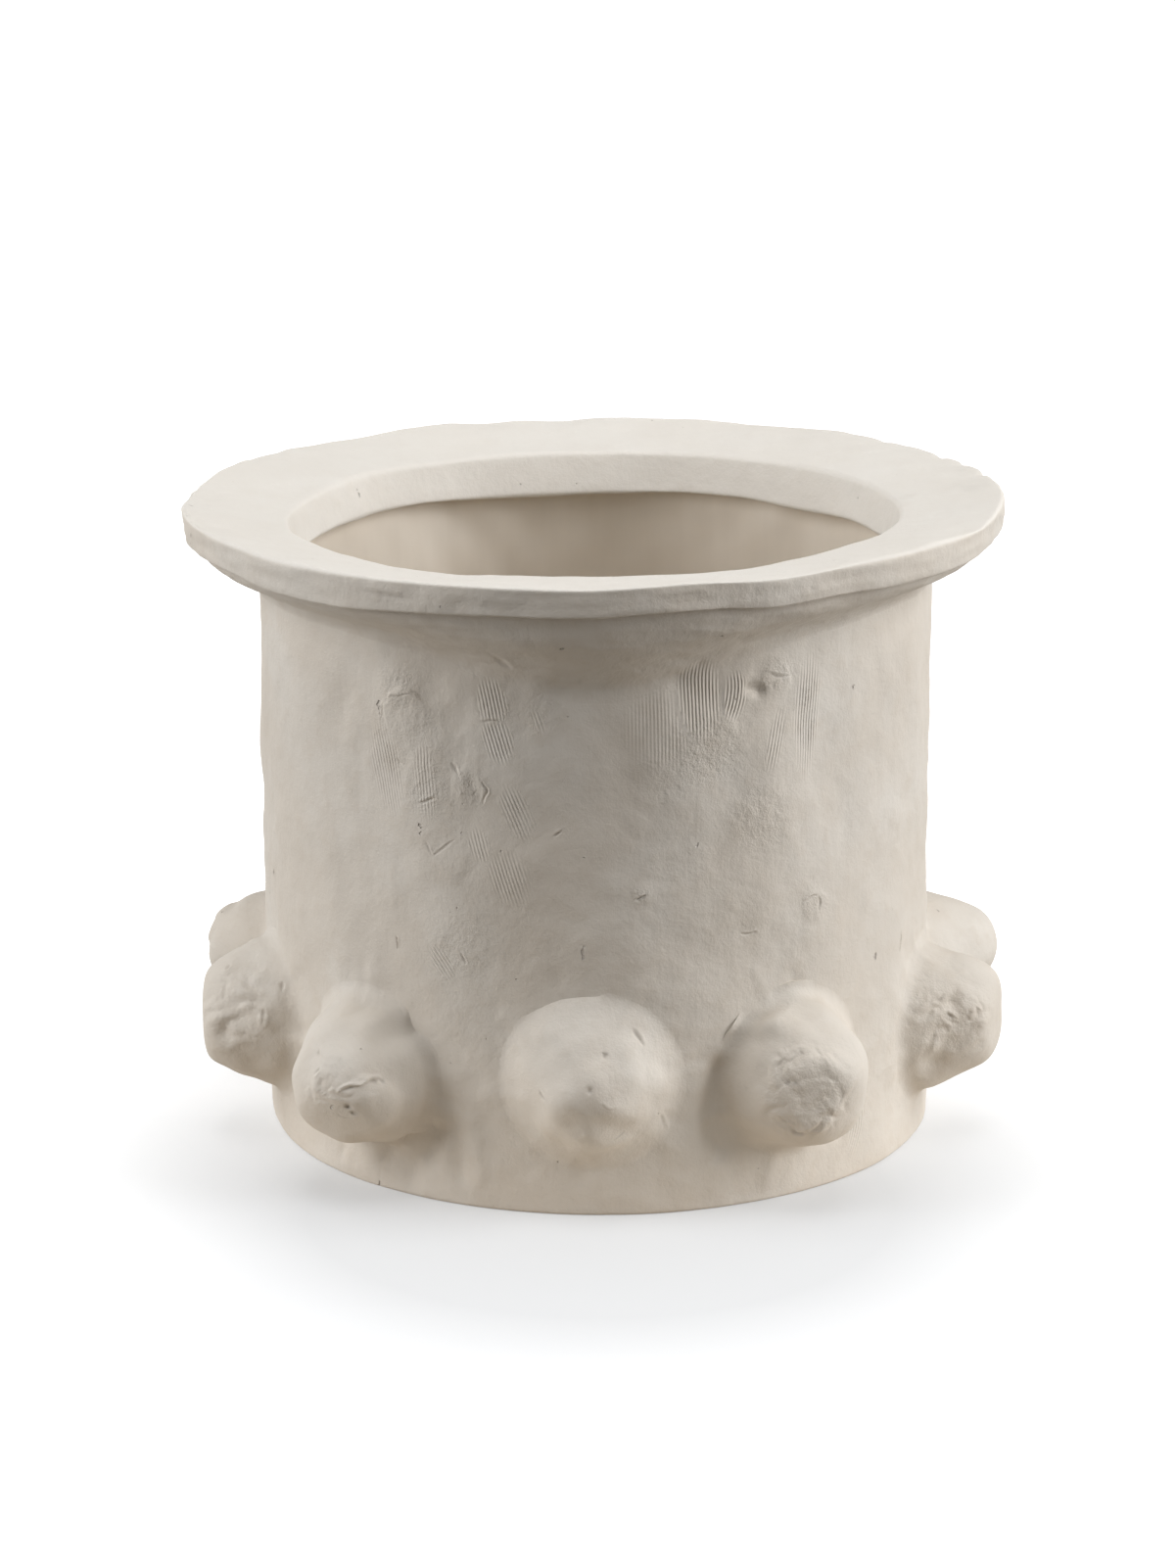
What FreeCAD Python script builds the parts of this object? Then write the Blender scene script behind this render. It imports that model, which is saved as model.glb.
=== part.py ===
import FreeCAD, Part
import math
import os
from dataclasses import dataclass

import Sketcher

# A hand-built stoneware flower pot: a straight wall on a slab floor, a broad dished rim ring
# carried on a cove, and a belt of ten pressed clay knobs, each bedded in its own collar.
# Millimetres, +Z up, origin on the ground under the centre of the foot.
# The pot leans a little towards -X, so all that is turned on its axis leans with it.
# Bearings are degrees from the front (-Y), positive towards +X.

ACROSS = FreeCAD.Vector(1, 0, 0)
FORWARD = FreeCAD.Vector(0, -1, 0)
UP = FreeCAD.Vector(0, 0, 1)

# Driving sizes
SIZES = {
    "pot_height": 313,          # ground to the rim's outer edge, along the axis
    "top_lean": 3.6,            # how far the rim stands off centre
    "overrun": 6,               # how far a cutting form passes the face it cuts

    "wall_radius": 165.4,       # outside of the wall
    "wall_thickness": 12,
    "foot_bevel": 3,            # softened outer edge of the foot

    "foot_recess": 4,           # the floor slab is held this far clear of the ground
    "floor_thickness": 14,
    "floor_coil_size": 13,      # clay coil pressed into the corner of floor and wall

    "rim_overhang": 35.6,       # outer edge of the rim beyond the wall
    "rim_edge_thickness": 14.5,
    "rim_edge_slant": 2,        # the outer edge leans in by this much at its lower corner
    "rim_edge_bevel": 4,
    "rim_dish": 8,              # fall of the rim's top from its outer edge to the throat
    "throat_inset": 4.4,        # upper edge of the throat within the inside of the wall
    "throat_depth": 21,
    "throat_taper": 5.5,        # the throat narrows by this much to its lower lip
    "throat_bevel": 2.5,

    "cove_reach": 22,           # from the wall out under the rim
    "cove_drop": 21,            # from the rim's seat down the wall
    "cove_lip": 1.6,            # thickness left at the cove's lower edge

    "knob_radius": 30,          # at the top of the collar
    "knob_height": 63,          # middle of a knob above the ground
    "knob_reach": 40,           # pressed end of a knob beyond the wall
    "knob_taper": 6,            # a knob's side draws in by this much from its collar to its end
    "knob_end_bevel": 9,        # softened edge of the pressed end
    "knob_root": 10,            # depth of a knob behind the wall's face before it is fitted
    "collar_radius": 39,        # where a collar runs out on the wall
    "collar_rise": 15,          # how far a collar climbs its knob
    "collar_edge": 1.5,         # thickness left at a collar's top edge
    "collar_sink": 9,           # depth of a collar behind the wall's face before it is fitted
}

# Corners of the cove's hollow, as shares of its height from the lip to the rim's underside
COVE_HEIGHT_SHARES = (0, 0.45, 0.8, 1)

# Sides of the knobs and collars, whose faces are dabbed flat
KNOB_SIDES = 20


@dataclass(frozen=True)
class Knob:
    """One pressed knob: where it sits and how it differs from the others."""

    bearing: float          # degrees round the pot
    height_share: float     # of knob_height
    width_share: float      # of its radius, taper and bevel
    reach_share: float      # of knob_reach
    collar_share: float     # of collar_radius
    swing: float            # degrees that its pressed end faces off to the side
    rise: float             # degrees that its pressed end faces up


KNOBS = (
    Knob(-1.5, 1.06, 0.99, 1.02, 1.00, 2, -6),
    Knob(34.5, 0.99, 1.02, 0.98, 1.04, -4, -2),
    Knob(74.0, 0.94, 1.00, 0.97, 1.00, 3, 3),
    Knob(108.0, 0.95, 1.06, 1.22, 1.02, 0, 4),
    Knob(144.0, 1.02, 0.97, 1.00, 0.98, -3, -4),
    Knob(181.0, 0.97, 1.03, 1.02, 1.03, 3, 2),
    Knob(217.0, 1.03, 1.00, 0.98, 1.00, -3, -4),
    Knob(254.0, 0.97, 0.98, 0.98, 1.00, 4, 5),
    Knob(285.5, 0.97, 1.04, 0.98, 1.04, -2, 0),
    Knob(318.0, 0.95, 1.05, 0.98, 1.02, 5, -5),
)

# Sizes that several pieces share, as formulas of the sheet
SEAT_HEIGHT = "(Sizes.pot_height - Sizes.rim_dish - Sizes.throat_depth)"
BORE_RADIUS = "(Sizes.wall_radius - Sizes.wall_thickness)"
FLOOR_TOP = "(Sizes.foot_recess + Sizes.floor_thickness)"
LEAN_RATE = "(Sizes.top_lean / Sizes.pot_height)"
RIM_RADIUS = "(Sizes.wall_radius + Sizes.rim_overhang)"
UNDER_RADIUS = f"({RIM_RADIUS} - Sizes.rim_edge_slant)"
UNDER_HEIGHT = "(Sizes.pot_height - Sizes.rim_edge_thickness)"

doc = FreeCAD.newDocument("flower_pot")


def make_sheet():
    """Put the driving sizes into a sheet, one row each, with the size's name as alias."""
    sheet = doc.addObject("Spreadsheet::Sheet", "Sizes")
    for row, (alias, value) in enumerate(SIZES.items(), start=1):
        sheet.set(f"A{row}", alias)
        sheet.set(f"B{row}", str(value))
        sheet.setAlias(f"B{row}", alias)
    doc.recompute()


def value_of(formula):
    """Number that a formula of the sheet gives."""
    return doc.Sizes.evalExpression(formula.replace("Sizes.", ""))


def sheet_point(formulas):
    """Sketch point from two formulas of the sheet."""
    return FreeCAD.Vector(*(value_of(formula) for formula in formulas), 0)


def new_sketch(body, name, role):
    """Sketch on the origin plane of a body that has the given role."""
    sketch = body.newObject("Sketcher::SketchObject", name)
    plane = next(feature for feature in body.Origin.OriginFeatures if feature.Role == role)
    sketch.AttachmentSupport = [(plane, "")]
    sketch.MapMode = "FlatFace"
    return sketch


def tie_point(sketch, geometry, end, formulas):
    """Hold one point of a sketch at two formulas of the sheet, or on the upright axis."""
    for kind, formula in zip(("DistanceX", "DistanceY"), formulas):
        if formula == "0":
            axis = -2 if kind == "DistanceX" else -1
            sketch.addConstraint(Sketcher.Constraint("PointOnObject", geometry, end, axis))
            continue
        row = sketch.addConstraint(Sketcher.Constraint(kind, -1, 1, geometry, end, value_of(formula)))
        sketch.setExpression(f"Constraints[{row}]", formula)


def turned_body(name, corners):
    """Body turned about its own Z axis from a closed upright profile of (radius, height) formulas."""
    body = doc.addObject("PartDesign::Body", name)
    sketch = new_sketch(body, f"{name}_profile", "XZ_Plane")
    points = [sheet_point(corner) for corner in corners]
    count = len(points)
    for side in range(count):
        sketch.addGeometry(Part.LineSegment(points[side], points[(side + 1) % count]))
    for side in range(count):
        sketch.addConstraint(Sketcher.Constraint("Coincident", side, 2, (side + 1) % count, 1))
        tie_point(sketch, side, 1, corners[side])
    turn = body.newObject("PartDesign::Revolution", f"{name}_turn")
    turn.Profile = sketch
    turn.ReferenceAxis = (sketch, ["V_Axis"])
    turn.Angle = 360
    doc.recompute()
    return body


def lean(item):
    """Tip a piece that is turned on the pot's axis over with the pot."""
    item.Placement = FreeCAD.Placement(FreeCAD.Vector(), FreeCAD.Rotation(FORWARD, 1))
    item.setExpression("Placement.Rotation.Angle", "atan(Sizes.top_lean / Sizes.pot_height)")
    doc.recompute()
    return item


def cut(name, base, tool):
    """What is left of one object when another is taken from it."""
    result = doc.addObject("Part::Cut", name)
    result.Base = base
    result.Tool = tool
    doc.recompute()
    return result


def make_wall():
    """Wall tube, cut level at the ground and bevelled round its foot."""
    under = "-Sizes.overrun"
    outside = "(Sizes.wall_radius + Sizes.overrun)"
    tube = lean(turned_body("wall_tube", [
        (BORE_RADIUS, under),
        ("Sizes.wall_radius", under),
        ("Sizes.wall_radius", SEAT_HEIGHT),
        (BORE_RADIUS, SEAT_HEIGHT),
    ]))
    foot_shaper = turned_body("foot_shaper", [
        ("0", "0"),
        ("(Sizes.wall_radius - Sizes.foot_bevel)", "0"),
        (outside, "(Sizes.foot_bevel + Sizes.overrun)"),
        (outside, "-2 * Sizes.overrun"),
        ("0", "-2 * Sizes.overrun"),
    ])
    return cut("wall", tube, foot_shaper)


def make_wall_core():
    """Outside of the wall as a full block, to which knobs and collars are fitted."""
    core = doc.addObject("Part::Cylinder", "wall_core")
    core.setExpression("Radius", "Sizes.wall_radius")
    core.setExpression("Height", SEAT_HEIGHT)
    return lean(core)


def make_floor():
    """Floor slab and the coil pressed into its corner, both bounded by the inside of the wall."""
    slab = doc.addObject("PartDesign::Body", "floor_slab")
    circle = new_sketch(slab, "floor_circle", "XY_Plane")
    circle.addGeometry(Part.Circle(FreeCAD.Vector(), UP, value_of(BORE_RADIUS)))
    circle.addConstraint(Sketcher.Constraint("Coincident", 0, 3, -1, 1))
    row = circle.addConstraint(Sketcher.Constraint("Radius", 0, value_of(BORE_RADIUS)))
    circle.setExpression(f"Constraints[{row}]", BORE_RADIUS)
    circle.setExpression("AttachmentOffset.Base.z", "Sizes.foot_recess")
    pad = slab.newObject("PartDesign::Pad", "floor_pad")
    pad.Profile = circle
    pad.setExpression("Length", "Sizes.floor_thickness")
    coil = turned_body("floor_coil", [
        (f"({BORE_RADIUS} - Sizes.floor_coil_size)", FLOOR_TOP),
        (BORE_RADIUS, FLOOR_TOP),
        (BORE_RADIUS, f"({FLOOR_TOP} + Sizes.floor_coil_size)"),
    ])
    return [lean(slab), lean(coil)]


def make_rim_ring():
    """Broad rim ring: dished top, softened edges, and a throat that narrows to a lower lip."""
    throat_radius = f"({BORE_RADIUS} - Sizes.throat_inset)"
    throat_top = "(Sizes.pot_height - Sizes.rim_dish)"
    dish_rate = f"(Sizes.rim_dish / ({RIM_RADIUS} - {throat_radius}))"
    taper_rate = "(Sizes.throat_taper / Sizes.throat_depth)"
    return lean(turned_body("rim_ring", [
        (f"({throat_radius} - Sizes.throat_taper)", SEAT_HEIGHT),
        ("Sizes.wall_radius", SEAT_HEIGHT),
        (UNDER_RADIUS, UNDER_HEIGHT),
        (RIM_RADIUS, "(Sizes.pot_height - Sizes.rim_edge_bevel)"),
        (f"({RIM_RADIUS} - Sizes.rim_edge_bevel)", "Sizes.pot_height"),
        (f"({throat_radius} + Sizes.throat_bevel)", f"({throat_top} + Sizes.throat_bevel * {dish_rate})"),
        (f"({throat_radius} - Sizes.throat_bevel * {taper_rate})", f"({throat_top} - Sizes.throat_bevel)"),
    ]))


def make_cove():
    """Hollow cove from a thin lip on the wall out along the rim's sloping underside."""
    bottom = f"({SEAT_HEIGHT} - Sizes.cove_drop)"
    slope = f"(({UNDER_HEIGHT} - {SEAT_HEIGHT}) / ({UNDER_RADIUS} - Sizes.wall_radius))"
    # Bands of a hollow arc that leaves the wall upright and ends on the rim's underside
    across = "(Sizes.cove_reach - Sizes.cove_lip)"
    rise = f"(Sizes.cove_drop + Sizes.cove_reach * {slope})"
    radius = f"(({across} ^ 2 + {rise} ^ 2) / (2 * {across}))"
    corners = [("Sizes.wall_radius", SEAT_HEIGHT), ("Sizes.wall_radius", bottom)]
    for share in COVE_HEIGHT_SHARES:
        climb = f"({rise} * {share})"
        hollow = f"({radius} - sqrt({radius} ^ 2 - {climb} ^ 2))"
        corners.append((f"(Sizes.wall_radius + Sizes.cove_lip + {hollow})", f"({bottom} + {climb})"))
    return lean(turned_body("rim_cove", corners))


def set_on_wall(body, knob, swing, rise):
    """Stand a body on the wall at a knob's place, its own Z axis pointing outwards."""
    bearing = math.radians(knob.bearing)
    height = f"(Sizes.knob_height * {knob.height_share})"
    outwards = FreeCAD.Rotation(UP, knob.bearing + swing) * FreeCAD.Rotation(ACROSS, 90 - rise)
    body.Placement = FreeCAD.Placement(FreeCAD.Vector(), outwards)
    body.setExpression(
        "Placement.Base.x", f"Sizes.wall_radius * {math.sin(bearing)} - {LEAN_RATE} * {height}")
    body.setExpression("Placement.Base.y", f"-Sizes.wall_radius * {math.cos(bearing)}")
    body.setExpression("Placement.Base.z", height)
    doc.recompute()


def end_face(feature):
    """Name of a feature's outermost flat face on its own Z axis."""
    faces = feature.Shape.Faces
    last = max(range(len(faces)), key=lambda index: faces[index].CenterOfMass.z)
    return f"Face{last + 1}"


def many_sided_body(name, radius, depth, reach, taper_length, taper):
    """Many-sided block about its own Z axis, from -depth to reach, tapered towards its outer end."""
    body = doc.addObject("PartDesign::Body", name)
    block = body.newObject("PartDesign::AdditivePrism", f"{name}_block")
    block.Polygon = KNOB_SIDES
    block.setExpression("Circumradius", radius)
    block.setExpression("Height", f"{depth} + {reach}")
    block.setExpression("Placement.Base.z", f"-{depth}")
    doc.recompute()
    flank = body.newObject("PartDesign::Chamfer", f"{name}_flank")
    flank.Base = (block, [end_face(block)])
    flank.ChamferType = "Two distances"
    flank.setExpression("Size", taper_length)
    flank.setExpression("Size2", taper)
    doc.recompute()
    return body


def soften_end(body, size):
    """Bevel round the outer end of a many-sided body."""
    flank = body.Tip
    bevel = body.newObject("PartDesign::Chamfer", f"{body.Name}_bevel")
    bevel.Base = (flank, [end_face(flank)])
    bevel.setExpression("Size", size)
    doc.recompute()


def make_collar_blank(index, knob):
    """Flared collar at a knob's place, before it is fitted to the wall and the knob."""
    foot = f"(Sizes.collar_radius * {knob.collar_share})"
    top = f"(Sizes.knob_radius * {knob.width_share} + Sizes.collar_edge)"
    slope = f"(({foot} - {top}) / Sizes.collar_rise)"
    blank = many_sided_body(
        f"collar_blank_{index:02d}", f"{foot} + Sizes.collar_sink * {slope}",
        "(Sizes.collar_sink + Sizes.overrun)", "Sizes.collar_rise",
        "Sizes.collar_sink + Sizes.collar_rise", f"(Sizes.collar_sink + Sizes.collar_rise) * {slope}")
    set_on_wall(blank, knob, 0, 0)
    return blank


def make_knob(index, knob, wall_core, collar_blank, collar_before):
    """Clay knob pressed flat at its outer end, and the collar that beds it on the wall."""
    reach = f"(Sizes.knob_reach * {knob.reach_share})"
    blank = many_sided_body(
        f"knob_blank_{index:02d}", f"(Sizes.knob_radius * {knob.width_share})", "Sizes.knob_root", reach,
        f"{reach} - Sizes.collar_rise", f"Sizes.knob_taper * {knob.width_share}")
    soften_end(blank, f"Sizes.knob_end_bevel * {knob.width_share}")
    set_on_wall(blank, knob, knob.swing, knob.rise)

    # On a narrower wall a collar stops at the one set before it
    on_wall = cut(f"collar_on_wall_{index:02d}", collar_blank, wall_core)
    beside = cut(f"collar_beside_{index:02d}", on_wall, collar_before)
    collar = cut(f"knob_collar_{index:02d}", beside, blank)
    return [cut(f"knob_{index:02d}", blank, wall_core), collar]


def check_and_export(pieces):
    """Stop on any failed object, then write each piece to its own file."""
    for item in doc.Objects:
        if "Invalid" in item.State or "Error" in item.State:
            raise RuntimeError(f"{item.Name} failed: {item.State}")
    for piece in pieces:
        shape = piece.Shape
        if shape.isNull() or not shape.isValid() or len(shape.Solids) != 1:
            raise RuntimeError(f"{piece.Label} is not one sound solid")
    os.makedirs("parts", exist_ok=True)
    for piece in pieces:
        piece.Shape.exportStep(f"parts/{piece.Label}.step")
        print(f"{piece.Label}: {piece.Shape.Volume:.0f} mm3")


def main():
    """Build every piece in order and write them out."""
    make_sheet()
    wall_core = make_wall_core()
    pieces = [make_wall(), make_rim_ring(), make_cove()]
    pieces.extend(make_floor())
    collar_blanks = [make_collar_blank(index, knob) for index, knob in enumerate(KNOBS, start=1)]
    for number, knob in enumerate(KNOBS):
        collars = collar_blanks[number], collar_blanks[number - 1]
        pieces.extend(make_knob(number + 1, knob, wall_core, *collars))
    check_and_export(pieces)


main()
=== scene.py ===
"""Looks of a hand-built stoneware flower pot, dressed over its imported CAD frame.

Lengths are millimetres and angles degrees until a mesh is finished, which is then scaled to metres.
Bearings run round the pot from the front (-Y) towards the right (+X). On the unrolled wall a place is
(arc, height, out): millimetres round from the front, up from the ground and out from the wall.
On a knob it is (across, up, out), measured from the middle of the knob's root.
"""

import logging
import math
from dataclasses import dataclass, field
from enum import Enum

import bmesh
import bpy
import numpy as np
from mathutils import Matrix, Vector
from mathutils.geometry import interpolate_bezier


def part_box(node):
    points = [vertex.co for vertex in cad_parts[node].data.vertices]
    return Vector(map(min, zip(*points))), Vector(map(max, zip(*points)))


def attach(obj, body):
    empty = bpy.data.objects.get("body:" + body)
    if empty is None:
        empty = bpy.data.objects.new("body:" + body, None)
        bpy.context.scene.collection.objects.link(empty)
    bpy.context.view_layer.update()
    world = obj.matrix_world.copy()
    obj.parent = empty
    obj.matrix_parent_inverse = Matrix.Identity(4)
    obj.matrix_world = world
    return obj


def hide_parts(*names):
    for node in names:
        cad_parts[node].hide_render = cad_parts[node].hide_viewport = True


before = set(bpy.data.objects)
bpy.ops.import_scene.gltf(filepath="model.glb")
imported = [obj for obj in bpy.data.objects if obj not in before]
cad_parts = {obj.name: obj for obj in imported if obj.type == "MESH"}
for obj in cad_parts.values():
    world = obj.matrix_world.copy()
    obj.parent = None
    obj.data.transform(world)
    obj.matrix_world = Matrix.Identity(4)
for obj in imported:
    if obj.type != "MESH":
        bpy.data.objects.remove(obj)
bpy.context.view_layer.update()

MM = 0.001
log = logging.getLogger("flower_pot")


def linear(code: str) -> tuple[float, float, float, float]:
    """Turn an sRGB hex colour into linear light.

    Args:
        code: six hex digits.

    Returns:
        Linear red, green, blue and an alpha of 1.
    """
    shares = [int(code[i : i + 2], 16) / 255 for i in (0, 2, 4)]
    light = [s / 12.92 if s <= 0.04045 else ((s + 0.055) / 1.055) ** 2.4 for s in shares]
    return (*light, 1.0)


def per_metre(size: float) -> float:
    """Scale of a texture whose features are this many millimetres wide."""
    return 1 / (size * MM)


def soft_step(low: float, high: float, value: np.ndarray) -> np.ndarray:
    """Rise smoothly from 0 at low to 1 at high."""
    share = np.clip((value - low) / (high - low), 0, 1)
    return share * share * (3 - 2 * share)


def add(
    tree: bpy.types.NodeTree, kind: str, settings: dict | None = None, **links: bpy.types.NodeSocket
) -> bpy.types.Node:
    """Add a shader node.

    Args:
        tree: node tree that gets the node.
        kind: Blender's name of the node type.
        settings: values by input name or number, or by property name.
        **links: sockets that feed the inputs of those names, with _ for a space and in_0 for input 0.

    Returns:
        The new node.
    """
    node = tree.nodes.new(kind)
    for name, value in (settings or {}).items():
        if isinstance(name, int) or name in node.inputs:
            node.inputs[name].default_value = value
        else:
            setattr(node, name, value)
    for name, socket in links.items():
        key = int(name[3:]) if name.startswith("in_") else name.replace("_", " ")
        tree.links.new(socket, node.inputs[key])
    return node


@dataclass(frozen=True)
class PotSizes:
    """Sizes that every piece shares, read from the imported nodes.

    Attributes:
        wall_radius: outside of the wall.
        rim_radius: outside of the rim.
        height: rim's top above the ground, at the pot's axis.
        lean_rate: how far the axis tips to the left for each millimetre up.
        tips_from: share of the height where level rings begin to tip too.
        tips_fully: share of the height from which they tip as much as the axis.
    """

    wall_radius: float
    rim_radius: float
    height: float
    lean_rate: float
    tips_from: float = 0.3
    tips_fully: float = 0.8

    @classmethod
    def from_frame(cls) -> "PotSizes":
        """Read the sizes from the boxes of the wall and the rim.

        Returns:
            The sizes in millimetres.
        """
        wall_low, wall_high = (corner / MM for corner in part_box("wall"))
        rim_low, rim_high = (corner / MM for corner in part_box("rim_ring"))
        rim_radius = (rim_high.y - rim_low.y) / 2
        lean_rate = -(rim_low.x + rim_high.x) / (rim_low.z + rim_high.z)
        return cls(
            wall_radius=(wall_high.y - wall_low.y) / 2,
            rim_radius=rim_radius,
            height=rim_high.z - rim_radius * lean_rate,
            lean_rate=lean_rate,
        )

    def unroll(self, points: np.ndarray) -> np.ndarray:
        """Give upright points as (arc, height, out) on the unrolled wall.

        Args:
            points: places on the upright pot.

        Returns:
            Places on the unrolled wall.
        """
        x, y, z = points.T
        arc = np.arctan2(x, -y) * self.wall_radius
        return np.stack([arc, z, np.hypot(x, y) - self.wall_radius], axis=1)

    def roll_up(self, chart: np.ndarray) -> np.ndarray:
        """Give (arc, height, out) as upright points.

        Args:
            chart: places on the unrolled wall.

        Returns:
            Places on the upright pot.
        """
        arc, height, out = chart.T
        bearing = arc / self.wall_radius
        radius = self.wall_radius + out
        return np.stack([radius * np.sin(bearing), -radius * np.cos(bearing), height], axis=1)

    def lean(self, points: np.ndarray) -> np.ndarray:
        """Tip upright points to the left, while the foot stays flat on the ground.

        Args:
            points: places on the upright pot.

        Returns:
            Places on the leaning pot.
        """
        x, y, z = points.T
        tipped = soft_step(self.tips_from * self.height, self.tips_fully * self.height, z)
        return np.stack([x - self.lean_rate * z, y, z + self.lean_rate * x * tipped], axis=1)


@dataclass(frozen=True)
class Lumps:
    """Unevenness that hands leave in clay: seeded waves that cross in all directions.

    Attributes:
        width: usual distance from lump to lump.
        rise: usual height of a lump.
        seed: choice of waves.
    """

    width: float
    rise: float
    seed: int

    def at(self, points: np.ndarray) -> np.ndarray:
        """Height of the lumps at each point.

        Args:
            points: places as rows of three numbers.

        Returns:
            One height for each point.
        """
        waves = 26
        choice = np.random.default_rng(self.seed)
        ways = choice.normal(size=(waves, 3))
        ways /= np.linalg.norm(ways, axis=1, keepdims=True)
        lengths = self.width * choice.uniform(0.75, 1.6, waves)
        starts = choice.uniform(0, math.tau, waves)
        total = np.zeros(len(points))
        for way, length, start in zip(ways, lengths, starts):
            total += np.cos(points @ way * (math.tau / length) + start)
        return self.rise * total * math.sqrt(2 / waves)

    def crumbs(self, points: np.ndarray) -> np.ndarray:
        """Rounded crumbs with narrow clefts between them, at each point."""
        return np.hypot(self.at(points), 0.3 * self.rise) - 0.85 * self.rise


class Mark:
    """Something that hands left in the clay, small enough to sit in a box on its chart."""

    def box(self) -> tuple[np.ndarray, np.ndarray]:
        """Lowest and highest corner of the box that holds the mark."""
        raise NotImplementedError

    def rise(self, chart: np.ndarray) -> np.ndarray:
        """How far the clay stands out at each place."""
        raise NotImplementedError

    def add_to(self, total: np.ndarray, chart: np.ndarray) -> None:
        """Add the mark to the heights of a surface.

        Args:
            total: height at each place, which is changed.
            chart: the places.
        """
        low, high = self.box()
        near = np.flatnonzero(np.all((chart > low) & (chart < high), axis=1))
        if near.size:
            total[near] += self.rise(chart[near])


def near_marks(marks: list[Mark], chart: np.ndarray) -> np.ndarray:
    """Find the places that lie in the box of a mark.

    Args:
        marks: the marks.
        chart: the places.

    Returns:
        True for each place that does.
    """
    near = np.zeros(len(chart), bool)
    for mark in marks:
        low, high = mark.box()
        near |= np.all((chart > low) & (chart < high), axis=1)
    return near


def crease_shade_share(marks: list[Mark], chart: np.ndarray, darkest: float) -> np.ndarray:
    """Painted shade: darkening in creases and pits, by their depth.

    Args:
        marks: the creases and pits.
        chart: the places.
        darkest: share at a millimetre deep or more.

    Returns:
        One share for each place.
    """
    lines = np.zeros(len(chart))
    for mark in marks:
        mark.add_to(lines, chart)
    return darkest * np.clip(-lines, 0, 1)


@dataclass(frozen=True)
class Press(Mark):
    """A dent that a finger or tool pressed along a path.

    Attributes:
        path: places that the press passes through.
        radius: half width.
        depth: how far the clay goes in; a negative one stands out.
        flat: 1 for a rounded bottom, more for a flatter one with steeper sides.
    """

    path: tuple[tuple[float, float, float], ...]
    radius: float
    depth: float
    flat: float = 1.0

    def box(self) -> tuple[np.ndarray, np.ndarray]:
        """Lowest and highest corner of the box that holds the press.

        Returns:
            Both corners.
        """
        corners = np.array(self.path, float)
        # The dent has faded out at this distance.
        reach = 2.6 * self.radius
        return corners.min(axis=0) - reach, corners.max(axis=0) + reach

    def rise(self, chart: np.ndarray) -> np.ndarray:
        """How far the clay stands out at each place.

        Args:
            chart: the places.

        Returns:
            One height for each place.
        """
        nearest = np.full(len(chart), np.inf)
        for start, end in zip(self.path, self.path[1:] or self.path):
            begin = np.array(start, float)
            run = np.array(end) - begin
            share = np.clip((chart - begin) @ run / max(run @ run, 1e-9), 0, 1)
            nearest = np.minimum(nearest, np.linalg.norm(chart - begin - share[:, None] * run, axis=1))
        return -self.depth * np.exp(-((nearest / self.radius) ** (2 * self.flat)))


@dataclass(frozen=True)
class Crease(Mark):
    """A nick or tear that runs out at both ends, with clay pushed up along its left side.

    Attributes:
        path: places that the crease passes through.
        width: half width in the middle.
        depth: depth in the middle.
        lip: height of the pushed-up clay, as a share of the depth.
        wander: how far the crease strays from its path.
    """

    path: tuple[tuple[float, float, float], ...]
    width: float
    depth: float
    lip: float = 0.45
    wander: float = 0.5

    def box(self) -> tuple[np.ndarray, np.ndarray]:
        """Lowest and highest corner of the box that holds the crease.

        Returns:
            Both corners.
        """
        corners = np.array(self.path, float)
        # Both the lip and the straying path stay within this distance.
        reach = 4 * self.width + 2 * self.wander
        return corners.min(axis=0) - reach, corners.max(axis=0) + reach

    def follow(self, chart: np.ndarray) -> tuple[np.ndarray, np.ndarray, np.ndarray]:
        """Find the nearest place of the path.

        Args:
            chart: places on the surface.

        Returns:
            Distance from the path, share of the path's length, and whether the place is on its left.
        """
        corners = np.array(self.path, float)
        runs = np.diff(corners, axis=0)
        lengths = np.linalg.norm(runs, axis=1)
        starts = np.concatenate([[0], np.cumsum(lengths)])
        apart = np.full(len(chart), np.inf)
        share = np.zeros(len(chart))
        left = np.zeros(len(chart), bool)
        for begin, run, length, start in zip(corners, runs, lengths, starts):
            offset = chart - begin
            along = np.clip(offset @ run / length**2, 0, 1)
            gap = offset - along[:, None] * run
            distance = np.linalg.norm(gap, axis=1)
            closer = distance < apart
            apart = np.where(closer, distance, apart)
            share = np.where(closer, (start + along * length) / starts[-1], share)
            left = np.where(closer, run[0] * gap[:, 1] > run[1] * gap[:, 0], left)
        return apart, share, left

    def rise(self, chart: np.ndarray) -> np.ndarray:
        """How far the clay stands out at each place.

        Args:
            chart: the places.

        Returns:
            One height for each place.
        """
        stray = Lumps(7, self.wander, 71).at(chart)
        apart, share, left = self.follow(chart + stray[:, None] * (0.7, 0.7, 0))
        thin = np.sqrt(np.clip(1 - (2 * share - 1) ** 2, 0.01, 1))
        width = self.width * (0.4 + 0.6 * thin)
        gap = np.exp(-((apart / width) ** 2))
        lip = self.lip * left * np.exp(-((apart / width - 2) ** 2))
        return self.depth * thin * (lip - gap)


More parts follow.
